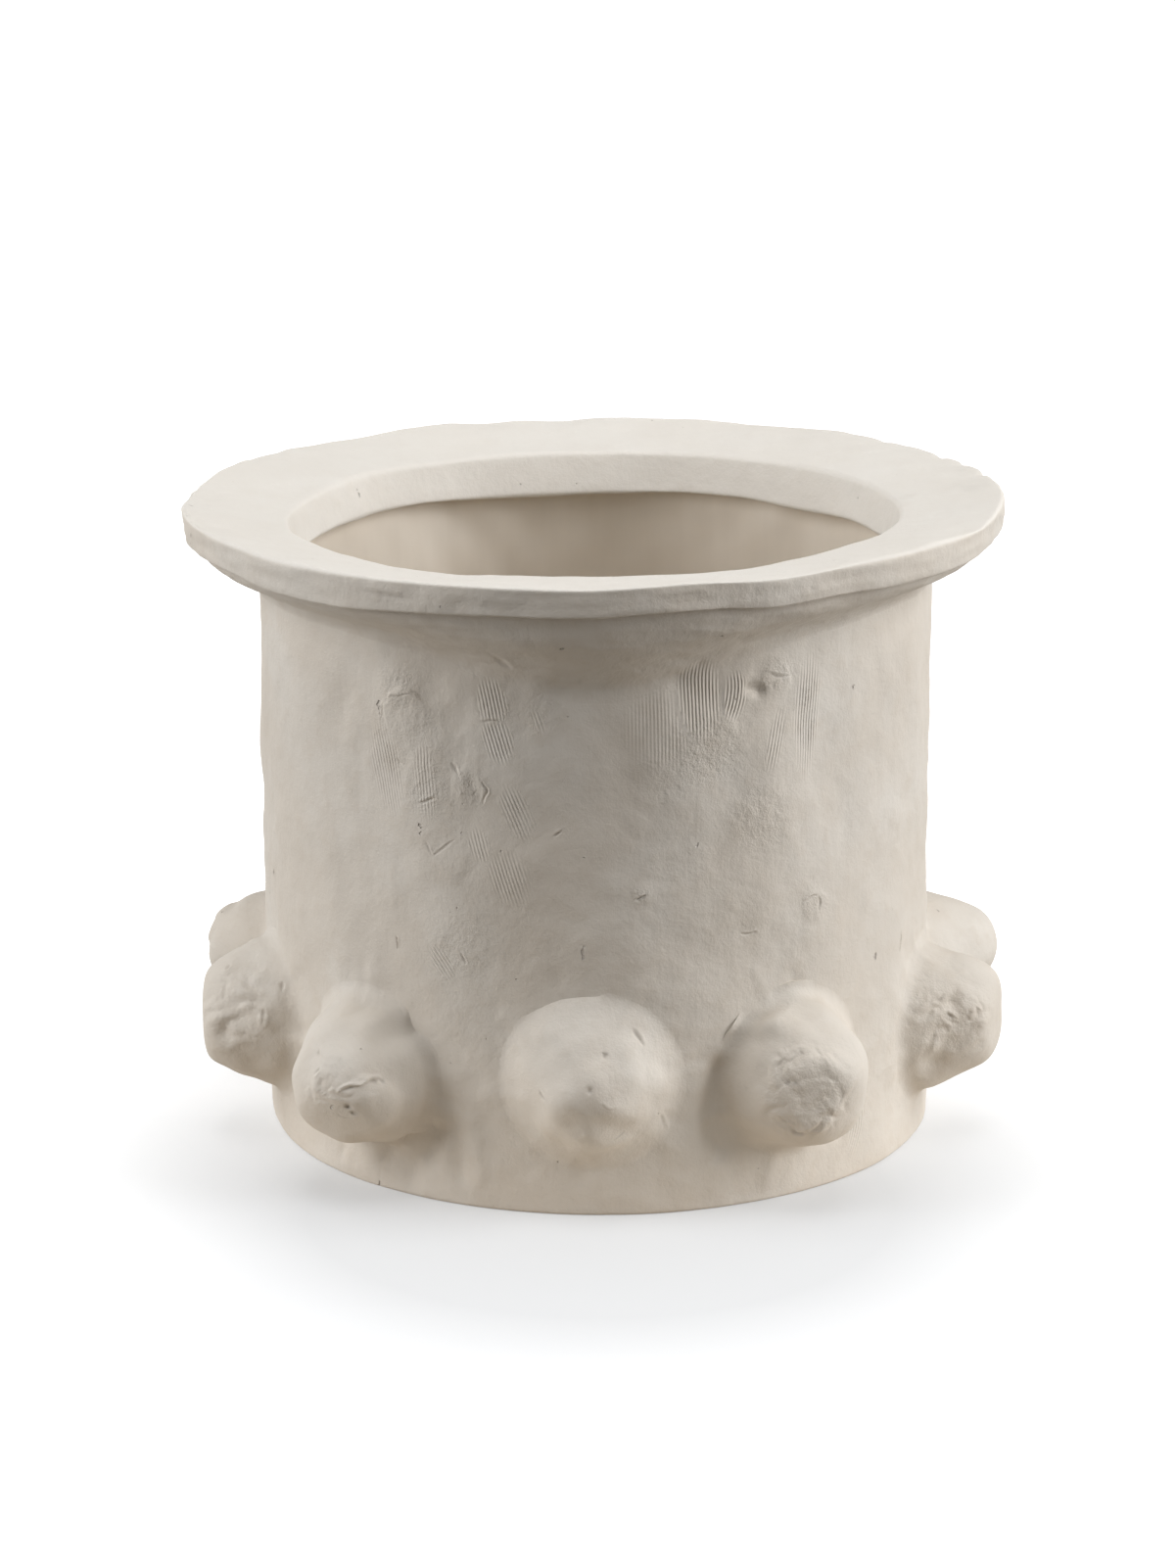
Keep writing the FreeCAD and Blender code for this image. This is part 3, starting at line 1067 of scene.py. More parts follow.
@dataclass
class Wall:
    """Straight wall of the pot, with the glaze that lines it."""

    pot: PotSizes
    clay: WorkedClay
    thickness: float = 12.0
    foot_round: float = 1.6
    top_height: float = 284.0
    steps: int = 560
    row: float = 2.0
    crease_cuts: int = 3
    skin_depth: tuple[float, float] = (-6.0, -2.0)
    foot_share: float = 0.35
    foot_fade: float = 6.0
    hidden_row: float = 40.0
    glaze_bed: float = 4.0
    glaze_foot: float = 20.0
    glaze_gap: float = 1.0
    glaze_steps: int = 288
    glaze_row: float = 3.0
    glaze_hidden_row: float = 30.0
    inside_swells: tuple[Lumps, ...] = (Lumps(60, 0.9, 21), Lumps(22, 0.2, 22))

    def build(self, stoneware: bpy.types.Material, glaze: bpy.types.Material) -> None:
        """Make the wall and its glaze.

        Args:
            stoneware: material of the wall.
            glaze: material that lines it.
        """
        outside = self.pot.wall_radius
        inside = outside - self.thickness
        shape = turned(
            [
                Corner(inside + self.glaze_bed, 0),
                Corner(outside, 0, rounding=self.foot_round, spacing=self.row),
                Corner(outside, self.top_height),
                Corner(inside + self.glaze_bed, self.top_height, spacing=self.hidden_row),
            ],
            self.steps,
        )
        chart = self.pot.unroll(places(shape))
        refine(shape, near_marks(self.clay.creases, chart), self.crease_cuts)
        chart = self.pot.unroll(places(shape))
        on_face = soft_step(*self.skin_depth, chart[:, 2])
        grounded = soft_step(0.0, self.foot_fade, chart[:, 1])
        chart[:, 2] += self.clay.out(chart) * on_face * (self.foot_share + (1 - self.foot_share) * grounded)
        piece = Piece("wall_clay", "stoneware", stoneware, ("wall",))
        piece.make(shape, self.pot.lean(self.pot.roll_up(chart)), **self.clay.marks(chart))
        self.build_glaze(inside, glaze)

    def build_glaze(self, inside: float, glaze: bpy.types.Material) -> None:
        """Make the glaze that lines the wall.

        Args:
            inside: radius of the wall's inside.
            glaze: material.
        """
        glaze_top = self.top_height - self.glaze_gap
        shape = turned(
            [
                Corner(inside + self.glaze_bed, self.glaze_foot, spacing=self.glaze_hidden_row),
                Corner(inside + self.glaze_bed, glaze_top),
                Corner(inside, glaze_top, spacing=self.glaze_row),
                Corner(inside, self.glaze_foot),
            ],
            self.glaze_steps,
        )
        rest = places(shape)
        chart = self.pot.unroll(rest)
        for swell in self.inside_swells:
            chart[:, 2] += swell.at(rest)
        Piece("inside_glaze", "glaze", glaze).make(shape, self.pot.lean(self.pot.roll_up(chart)))


@dataclass
class Floor:
    """Slab that closes the bottom, and the coil that seals it to the wall."""

    pot: PotSizes
    clearance: float = 4.0
    thickness: float = 14.0
    wall_thickness: float = 12.0
    coil_size: float = 13.0
    coil_overlap: float = 0.5
    steps: int = 240
    swells: tuple[Lumps, ...] = (Lumps(50, 0.5, 31), Lumps(17, 0.15, 32))

    def build(self, glaze: bpy.types.Material) -> None:
        """Make the slab and the coil.

        Args:
            glaze: material of both.
        """
        inside = self.pot.wall_radius - self.wall_thickness
        top = self.clearance + self.thickness
        slab = [
            Corner(0, self.clearance),
            Corner(inside, self.clearance),
            Corner(inside, top, spacing=3.0),
            Corner(0, top),
        ]
        coil = [
            Corner(inside - self.coil_size, top - self.coil_overlap),
            Corner(inside, top - self.coil_overlap),
            Corner(inside, top + self.coil_size, spacing=1.5),
        ]
        pieces = (("floor_glazed", "floor_slab", slab), ("floor_coil_glazed", "floor_coil", coil))
        for name, node, outline in pieces:
            shape = turned(outline, self.steps)
            moved = places(shape)
            upper = soft_step(self.clearance, top, moved[:, 2])
            for swell in self.swells:
                moved[:, 2] += swell.at(moved) * upper
            Piece(name, "glaze", glaze, (node,)).make(shape, self.pot.lean(moved))


@dataclass
class Rim:
    """Broad ring with a dished top, and the cove that carries it.

    Marks on the ring are placed by (arc, radius, height), with the arc measured round its outside.
    """

    pot: PotSizes
    clay: WorkedClay
    edge_thickness: float = 15.0
    edge_slant: float = 1.5
    edge_round: float = 2.2
    under_round: float = 1.6
    throat_round: float = 2.2
    lip_round: float = 2.5
    seat_overlap: float = 2.0
    bed_width: float = 20.0
    bed_slope: float = 1.5
    neck_height: float = 4.0
    neck_inset: float = 6.0
    edge_fade: tuple[float, float] = (30.0, 4.0)
    throat_fade: float = 6.0
    dish: float = 8.0
    throat_radius: float = 149.0
    throat_depth: float = 21.0
    throat_taper: float = 5.5
    cove_reach: float = 28.5
    cove_drop: float = 39.0
    cove_drop_elsewhere: float = 19.0
    cove_spread: float = 24.0
    cove_foot_round: float = 11.0
    roll_height: float = 13.0
    roll_round: float = 7.0
    roll_slant: float = 2.0
    feather_length: float = 10.0
    feather_sink: float = 0.15
    cove_sink: float = 4.0
    cove_tail: float = 8.0
    cove_back: float = 6.0
    cove_fade: tuple[float, float] = (0.5, 6.0)
    steps: int = 640
    swells: tuple[Lumps, ...] = (Lumps(90, 0.4, 41), Lumps(34, 0.16, 42), Lumps(11, 0.06, 43))
    edge_waves: Lumps = Lumps(62, 0.5, 47)
    edge_bumps: Lumps = Lumps(24, 0.16, 50)
    edge_lifts: Lumps = Lumps(80, 0.5, 48)
    edge_streaks: Lumps = Lumps(34, 0.14, 51)
    streak_draw: float = 6.0
    throat_waves: Lumps = Lumps(110, 0.8, 49)
    lip_waves: Lumps = Lumps(120, 0.7, 44)
    hang: float = 2.2
    hang_bearing: float = -39.0
    hang_spread: float = 13.0
    hang_fade: tuple[float, float] = (7.0, 14.0)
    # Painted light: the ring is painted paler where it faces up and in its throat.
    top_light_facing: tuple[float, float] = (0.25, 0.6)
    top_light_share: float = 0.6
    # Share of painted shade in the ring's creases.
    crease_darkness: float = 0.35
    marks: tuple[Mark, ...] = (
        Press(((363, 201, 313),), 4.5, 1.5),
        Press(((388, 201, 313),), 3.5, 1.2),
        Press(((410, 201, 313),), 5.0, 1.4),
        Press(((458, 201, 313),), 5.0, 1.2),
        Press(((-338, 201, 313),), 6.0, -0.8),
        Press(((332, 190, 311),), 7.0, -0.5),
        Press(((-420, 201, 313), (-440, 201, 313)), 5.0, 1.0),
        Crease(((-54, 200, 311), (-54, 200, 305)), 0.7, 0.7),
        Crease(((104, 200, 306), (105, 200, 300)), 0.7, 0.7),
        Crease(((30, 200, 306), (52, 200, 307)), 0.9, 0.4),
        Crease(((-110, 200, 306), (-80, 200, 304)), 0.9, 0.4),
        Crease(((252, 201, 309), (262, 201, 309)), 0.8, 0.9, 0.2),
        Crease(((268, 201, 308), (273, 201, 308)), 0.8, 0.9, 0.2),
    )
    spots: tuple[RoughSpot, ...] = (
        RoughSpot((340, 190, 312), 14, 0.7),
        RoughSpot((375, 198, 312), 12, 0.6),
        RoughSpot((456, 181, 310), 9, 0.4),
    )
    ridges: tuple[FingerRidges, ...] = (
        FingerRidges(330, 189, 18, 16, 20, 0.9),
        FingerRidges(342, 157, 13, 10, -20, 0.6),
    )
    cove_swells: tuple[Lumps, ...] = (Lumps(42, 0.35, 45), Lumps(14, 0.14, 46))
    cove_draw: float = 3.0
    cove_marks: tuple[Mark, ...] = (
        Crease(((-36, 287, 21), (-19, 282, 17)), 1.3, 0.9),
        Crease(((-30, 280, 15), (-8, 278, 14)), 1.3, 0.7),
        Crease(((-93, 276, 10), (-75, 274, 9), (-55, 274, 9)), 2.0, 1.0, 0.3),
        Crease(((-47, 278, 13), (-36, 266, 3)), 1.3, 1.4),
        Crease(((5, 279, 15), (9, 270, 6), (19, 264, 2)), 1.6, 0.9),
        Crease(((10, 282, 18), (14, 272, 8), (25, 266, 3)), 1.6, 0.9),
        Crease(((73, 270, 7), (84, 282, 18)), 1.6, 1.0),
        Crease(((79, 268, 5), (91, 281, 17)), 1.5, 0.9),
        Crease(((66, 272, 9), (76, 283, 19)), 1.5, 0.8),
    )

    def build(self, stoneware: bpy.types.Material) -> None:
        """Make the ring and the cove."""
        self.build_ring(stoneware)
        self.build_cove(stoneware)

    def build_ring(self, stoneware: bpy.types.Material) -> None:
        """Make the ring.

        Args:
            stoneware: material.
        """
        outer = self.pot.rim_radius
        top = self.pot.height
        throat_top = top - self.dish
        under = top - self.edge_thickness
        lip = throat_top - self.throat_depth
        shape = turned(
            [
                Corner(self.throat_radius - self.throat_taper, lip, rounding=self.lip_round, spacing=1.3),
                Corner(self.throat_radius, throat_top, rounding=self.throat_round, spacing=1.4),
                Corner(outer, top, rounding=self.edge_round, spacing=1.2),
                Corner(outer - self.edge_slant, under, rounding=self.under_round, spacing=1.5),
                Corner(self.pot.wall_radius + self.bed_width, under + self.bed_slope, spacing=3.0),
                Corner(self.pot.wall_radius, lip + self.neck_height, spacing=3.0),
                Corner(self.pot.wall_radius - self.neck_inset, lip, spacing=2.0),
            ],
            self.steps,
        )
        rest = places(shape)
        radius = np.hypot(rest[:, 0], rest[:, 1])
        bearing = np.arctan2(rest[:, 0], -rest[:, 1])
        chart = np.stack([bearing * outer, radius, rest[:, 2]], axis=1)
        shape.normal_update()
        normals = np.array([v.normal for v in shape.verts])
        at_edge = soft_step(outer - self.edge_fade[0], outer - self.edge_fade[1], radius)
        in_throat = soft_step(self.throat_radius + self.throat_fade, self.throat_radius, radius)
        hangs = at_edge * soft_step(top - self.hang_fade[0], top - self.hang_fade[1], rest[:, 2])
        bulge = at_edge * self.edge_streaks.at(rest * (1, 1, self.streak_draw))
        for swell in self.swells:
            bulge += swell.at(rest)
        for mark in self.marks:
            mark.add_to(bulge, chart)
        moved = rest + normals * bulge[:, None]

        outwards = rest * (1, 1, 0) / radius[:, None]
        ring = outwards * outer
        waves = at_edge * (self.edge_waves.at(ring) + self.edge_bumps.at(ring))
        waves += in_throat * self.throat_waves.at(ring)
        moved += outwards * waves[:, None]
        moved[:, 2] += at_edge * self.edge_lifts.at(ring)
        moved[:, 2] += in_throat * soft_step(throat_top, lip, rest[:, 2]) * self.lip_waves.at(ring)
        away = (np.degrees(bearing) - self.hang_bearing) / self.hang_spread
        moved[:, 2] -= hangs * self.hang * np.exp(-(away**2))

        creases = [mark for mark in self.marks if isinstance(mark, Crease)]
        across, mask = FingerRidges.combine(self.ridges, chart)
        Piece("rim_ring_clay", "stoneware", stoneware, ("rim_ring",)).make(
            shape,
            self.pot.lean(moved),
            # Painted shade in the ring's creases.
            tear=crease_shade_share(creases, chart, self.crease_darkness),
            # Painted light where the ring faces up and in its throat.
            slip=self.top_light_share * np.maximum(soft_step(*self.top_light_facing, normals[:, 2]), in_throat),
            crumbly=np.max([spot.share(chart) for spot in self.spots], axis=0),
            ridge_across=across,
            ridge_mask=mask,
        )

    def build_cove(self, stoneware: bpy.types.Material) -> None:
        """Make the cove, which hangs lowest at the front and fades into the wall.

        Args:
            stoneware: material.
        """
        wall = self.pot.wall_radius
        seat = self.pot.height - self.edge_thickness
        foot = seat - self.cove_drop
        shape = turned(
            [
                Corner(wall - self.feather_sink, foot - self.feather_length, spacing=1.6),
                Corner(wall, foot, rounding=self.cove_foot_round, spacing=1.3),
                Corner(
                    wall + self.cove_reach - self.roll_slant,
                    seat - self.roll_height,
                    rounding=self.roll_round,
                    spacing=1.3,
                ),
                Corner(wall + self.cove_reach, seat + self.seat_overlap),
                Corner(wall - self.cove_sink, seat - self.cove_back),
                Corner(wall - self.cove_sink, foot - self.cove_tail),
            ],
            self.steps,
        )
        rest = places(shape)
        bearing = np.degrees(np.arctan2(rest[:, 0], -rest[:, 1]))
        at_front = np.exp(-((bearing / self.cove_spread) ** 2))
        drop = self.cove_drop_elsewhere + (self.cove_drop - self.cove_drop_elsewhere) * at_front
        hangs = np.minimum(rest[:, 2] - seat, 0)
        rest[:, 2] += hangs * (drop / self.cove_drop - 1)
        chart = self.pot.unroll(rest)
        worked = np.zeros(len(rest))
        for swell in self.cove_swells:
            worked += swell.at(rest * (1, 1, self.cove_draw))
        for mark in self.cove_marks:
            mark.add_to(worked, chart)
        low = 1 - soft_step(*self.cove_fade, chart[:, 2])
        free = (1 - low) * soft_step(seat + self.seat_overlap, seat - self.cove_back, chart[:, 1])
        chart[:, 2] += self.clay.out(chart) * low + worked * free
        Piece("rim_cove_clay", "stoneware", stoneware, ("rim_cove",)).make(
            shape, self.pot.lean(self.pot.roll_up(chart)), **self.clay.marks(chart)
        )


class KnobEnd(Enum):
    """How the end of a knob was left, as the height of its crumbs."""

    SMOOTHED = 0.0
    FOLDED = 0.35
    PITTED = 0.55
    TORN = 0.9


@dataclass(frozen=True)
class Facet:
    """A flat that was pressed or cut on a knob.

    Attributes:
        place: a place on the flat.
        facing: direction that the flat faces.
        edge: how softly the flat goes over into the round.
    """

    place: tuple[float, float, float]
    facing: tuple[float, float, float]
    edge: float = 1.5

    def flatten(self, chart: np.ndarray) -> np.ndarray:
        """Push the clay that stands over the flat back to it.

        Args:
            chart: places on the knob.

        Returns:
            The moved places.
        """
        facing = np.array(self.facing) / np.linalg.norm(self.facing)
        over = (chart - np.array(self.place)) @ facing
        back = self.edge * np.logaddexp(0, over / self.edge)
        return chart - back[:, None] * facing


@dataclass
class Knob:
    """A lump of clay pressed onto the wall, and the collar smeared round its root.

    Attributes:
        number: number in the node names.
        end: how its end was left.
        wide: share of the usual width.
        swing: degrees that it points round to the right.
        rise: degrees that it points up.
        facets: flats on it.
        marks: dents and creases on it.
        rough: where its clay tore.
        reach_share: share of the CAD knob's reach that the clay has.
        bluntness: how late and sharply the side turns over into the end.
        crown: how flat the end is.
        root_radius: half width at the wall.
        taper: narrowing for each millimetre out.
        fillet_reach: how far the clay spreads onto the wall.
        fillet_rise: how far the spread clay climbs up the knob.
        feather_length: how far the thin edge runs on over the wall.
        feather_sink: how far that edge is sunk in the wall.
        split_out: distance out where collar and knob meet.
        collar_depth: how far the collar goes in from that joint.
        collar_sink: how far the collar is sunk in the wall.
        knob_neck: how far the knob's hidden part is drawn in.
        knob_sink: how far the knob is sunk in the wall.
        row: distance between rows of vertices.
        steps: number of steps round the knob.
        smear_count: number of strokes round the root.
        smear_start, smear_end: distances from the knob's middle where strokes begin and end.
        smear_radius: half widths of the strokes.
        smear_depth: depths of the strokes, negative where they stand out.
        fine_below: half width under which a dent needs a finer mesh.
        skin_fade: distances out over which the wall's marks fade.
        free_from: distances out over which the knob's own lumps begin.
        follow_wall: distance out over which it follows the wall's lumps.
        crease_darkness: painted shade in its creases and pits.
        swell, knead: width and rise of its lumps.
        coarse_crumbs, fine_crumbs: width and rise of the crumbs on its end.
        warp: width and size of the bends in the crumbs.
        height: middle of the root above the ground, from the frame.
        bearing: radians round the pot, from the frame.
        reach: distance that the end stands out, from the frame.
    """

    number: int
    end: KnobEnd
    wide: float = 1.0
    swing: float = 0.0
    rise: float = 0.0
    facets: tuple[Facet, ...] = ()
    marks: tuple[Mark, ...] = ()
    rough: RoughSpot = RoughSpot((0, 0, 40), 22)
    reach_share: float = 1.0
    bluntness: float = 7.0
    crown: float = 3.0
    root_radius: float = 38.0
    taper: float = 0.42
    fillet_reach: float = 4.5
    fillet_rise: float = 6.0
    feather_length: float = 2.0
    feather_sink: float = 0.15
    split_out: float = 15.0
    collar_depth: float = 5.0
    collar_sink: float = 4.0
    knob_neck: float = 4.0
    knob_sink: float = 6.0
    row: float = 1.3
    steps: int = 160
    smear_count: int = 16
    smear_start: tuple[float, float] = (32, 40)
    smear_end: tuple[float, float] = (45, 57)
    smear_radius: tuple[float, float] = (2.5, 5.0)
    smear_depth: tuple[float, float] = (-1.0, 0.8)
    fine_below: float = 2.5
    skin_fade: tuple[float, float] = (2.0, 10.0)
    free_from: tuple[float, float] = (0.5, 9.0)
    follow_wall: float = 12.0
    crease_darkness: float = 0.35
    swell: tuple[float, float] = (46, 0.9)
    knead: tuple[float, float] = (19, 0.4)
    coarse_crumbs: tuple[float, float] = (17, 1.6)
    fine_crumbs: tuple[float, float] = (7, 0.45)
    warp: tuple[float, float] = (16, 2.2)
    height: float = field(init=False, default=0.0)
    bearing: float = field(init=False, default=0.0)
    reach: float = field(init=False, default=0.0)

    def read_place(self, pot: PotSizes) -> None:
        """Read from the frame where the knob stands and how far it reaches.

        Args:
            pot: sizes of the pot.
        """
        collar = self.cad_places(f"knob_collar_{self.number:02d}")
        knob = self.cad_places(f"knob_{self.number:02d}")
        middle = collar.mean(axis=0)
        self.height = (collar[:, 2].min() + collar[:, 2].max()) / 2
        self.bearing = math.atan2(middle[0] + pot.lean_rate * self.height, -middle[1])
        upright = knob + (pot.lean_rate * self.height, 0, 0)
        farthest = np.hypot(upright[:, 0], upright[:, 1]).max()
        self.reach = self.reach_share * (farthest - pot.wall_radius)

    @staticmethod
    def cad_places(node: str) -> np.ndarray:
        """Vertices of a CAD node in millimetres."""
        return np.array([v.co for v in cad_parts[node].data.vertices]) / MM

    def dome_curve(self) -> np.ndarray:
        """Outline of the knob from the wall to the middle of its end, evenly spaced.

        Returns:
            Rows of radius and distance out. The round of the end goes over into a fillet at the wall.
        """
        out = self.reach * np.sin(np.linspace(0, math.pi / 2, 400))
        cone = self.root_radius - self.taper * out
        dome = cone * (1 - (out / self.reach) ** self.bluntness) ** (1 / self.crown)
        near_wall = np.clip(1 - out / self.fillet_rise, 0, 1)
        radius = dome + self.fillet_reach * (1 - np.sqrt(1 - near_wall**2))
        radius = np.concatenate([[radius[0] + self.feather_length], radius])
        out = np.concatenate([[-self.feather_sink], out])
        run = np.concatenate([[0], np.cumsum(np.hypot(np.diff(radius), np.diff(out)))])
        even = np.linspace(0, run[-1], int(run[-1] / self.row))
        return np.stack([np.interp(even, run, radius), np.interp(even, run, out)], axis=1)

    def facing(self, rest: np.ndarray) -> np.ndarray:
        """Direction that the plain knob's surface faces at each place.

        Args:
            rest: places on the plain knob.

        Returns:
            One direction of length 1 for each place.
        """
        curve = self.dome_curve()
        along = np.gradient(curve, axis=0)
        order = curve[:, 1] - curve[:, 0]
        radius = np.maximum(np.hypot(rest[:, 0], rest[:, 1]), 1e-6)
        outwards = np.interp(rest[:, 2] - radius, order, along[:, 1])
        forwards = np.interp(rest[:, 2] - radius, order, -along[:, 0])
        ways = np.stack([outwards * rest[:, 0] / radius, outwards * rest[:, 1] / radius, forwards], axis=1)
        return ways / np.linalg.norm(ways, axis=1, keepdims=True)

    def build(self, pot: PotSizes, clay: WorkedClay, stoneware: bpy.types.Material) -> None:
        """Make the knob and its collar, which share one surface.

        Args:
            pot: sizes of the pot.
            clay: skin of the wall.
            stoneware: material.
        """
        curve = self.dome_curve()
        low = [Corner(r, out) for r, out in curve if out < self.split_out]
        high = [Corner(r, out) for r, out in curve if out >= self.split_out]
        joint = high[0]
        neck = joint.radius - self.knob_neck
        collar_bore = joint.radius - self.collar_depth
        collar_inside = [Corner(collar_bore, joint.height - 3), Corner(collar_bore, -self.collar_sink)]
        collar = low + [joint] + collar_inside + [Corner(low[0].radius - 1, -self.collar_sink)]
        knob_inside = [
            Corner(0, -self.knob_sink),
            Corner(neck, -self.knob_sink),
            Corner(neck, joint.height - 1),
        ]
        knob = high + knob_inside
        for name, outline in (("knob_collar", collar), ("knob", knob)):
            shape = turned(outline, self.steps)
            rest = places(shape)
            refine(shape, near_marks(self.fine_marks(), rest), 1)
            rest = places(shape)
            node = f"{name}_{self.number:02d}"
            chart = self.on_wall(self.worked(rest), pot, clay)
            fade = 1 - soft_step(*self.skin_fade, chart[:, 2])
            skin = clay.marks(chart)
            marks = {mark: fade * share for mark, share in skin.items()}
            marks["ridge_across"] = skin["ridge_across"]
            # Painted shade in the knob's creases and pits.
            knob_crease_shade = crease_shade_share(self.fine_marks(), rest, self.crease_darkness)
            marks["tear"] = np.maximum(marks["tear"], knob_crease_shade)
            marks["crumbly"] = np.maximum(marks["crumbly"], self.end.value * self.rough.share(rest))
            piece = Piece(f"{node}_clay", "stoneware", stoneware, (node,))
            piece.make(shape, pot.lean(pot.roll_up(chart)), **marks)

    def fine_marks(self) -> list[Mark]:
        """Marks that are too narrow for the plain mesh."""
        return [m for m in self.marks if isinstance(m, Crease) or m.radius < self.fine_below]

    def smears(self, pot: PotSizes) -> list[Press]:
        """Strokes on the wall round the root, where the clay was smeared on.

        Args:
            pot: sizes of the pot.

        Returns:
            The strokes, on the unrolled wall.
        """
        choice = np.random.default_rng(300 + self.number)
        middle = np.array([self.bearing * pot.wall_radius, self.height, 0])
        strokes = []
        for angle in np.radians(choice.uniform(0, 360, self.smear_count)):
            way = np.array([math.cos(angle), math.sin(angle), 0])
            start = middle + way * choice.uniform(*self.smear_start)
            end = middle + way * choice.uniform(*self.smear_end)
            radius = choice.uniform(*self.smear_radius)
            depth = choice.uniform(*self.smear_depth)
            strokes.append(Press((tuple(start), tuple(end)), radius, depth))
        return strokes

    def worked(self, rest: np.ndarray) -> np.ndarray:
        """Work lumps, flats, dents and creases into the knob.

        Args:
            rest: places on the plain knob.

        Returns:
            The moved places.
        """
        out = rest[:, 2]
        free = soft_step(*self.free_from, out)
        seed = 100 + 10 * self.number
        bends = np.stack([Lumps(*self.warp, seed + i).at(rest) for i in range(4, 7)], axis=1)
        crumbs = Lumps(*self.coarse_crumbs, seed + 2).crumbs(rest + bends)
        crumbs += Lumps(*self.fine_crumbs, seed + 3).crumbs(rest + bends)
        push = free * (Lumps(*self.swell, seed).at(rest) + Lumps(*self.knead, seed + 1).at(rest))
        push += free * self.end.value * self.rough.share(rest) * crumbs
        for mark in self.marks:
            mark.add_to(push, rest)
        moved = rest + self.facing(rest) * push[:, None]
        for facet in self.facets:
            moved = facet.flatten(moved)
        moved[:, 0] = moved[:, 0] * self.wide + math.tan(math.radians(self.swing)) * np.maximum(out, 0)
        moved[:, 1] = moved[:, 1] + math.tan(math.radians(self.rise)) * np.maximum(out, 0)
        return moved

    def on_wall(self, moved: np.ndarray, pot: PotSizes, clay: WorkedClay) -> np.ndarray:
        """Bend the knob's own places round the wall.

        Args:
            moved: places on the knob.
            pot: sizes of the pot.
            clay: skin of the wall.

        Returns:
            Places on the unrolled wall.
        """
        across, up, out = moved.T
        bearing = self.bearing + across / (pot.wall_radius + out)
        chart = np.stack([bearing * pot.wall_radius, self.height + up, out], axis=1)
        chart[:, 2] += clay.out(chart) * np.exp(-np.maximum(out, 0) / self.follow_wall)
        return chart


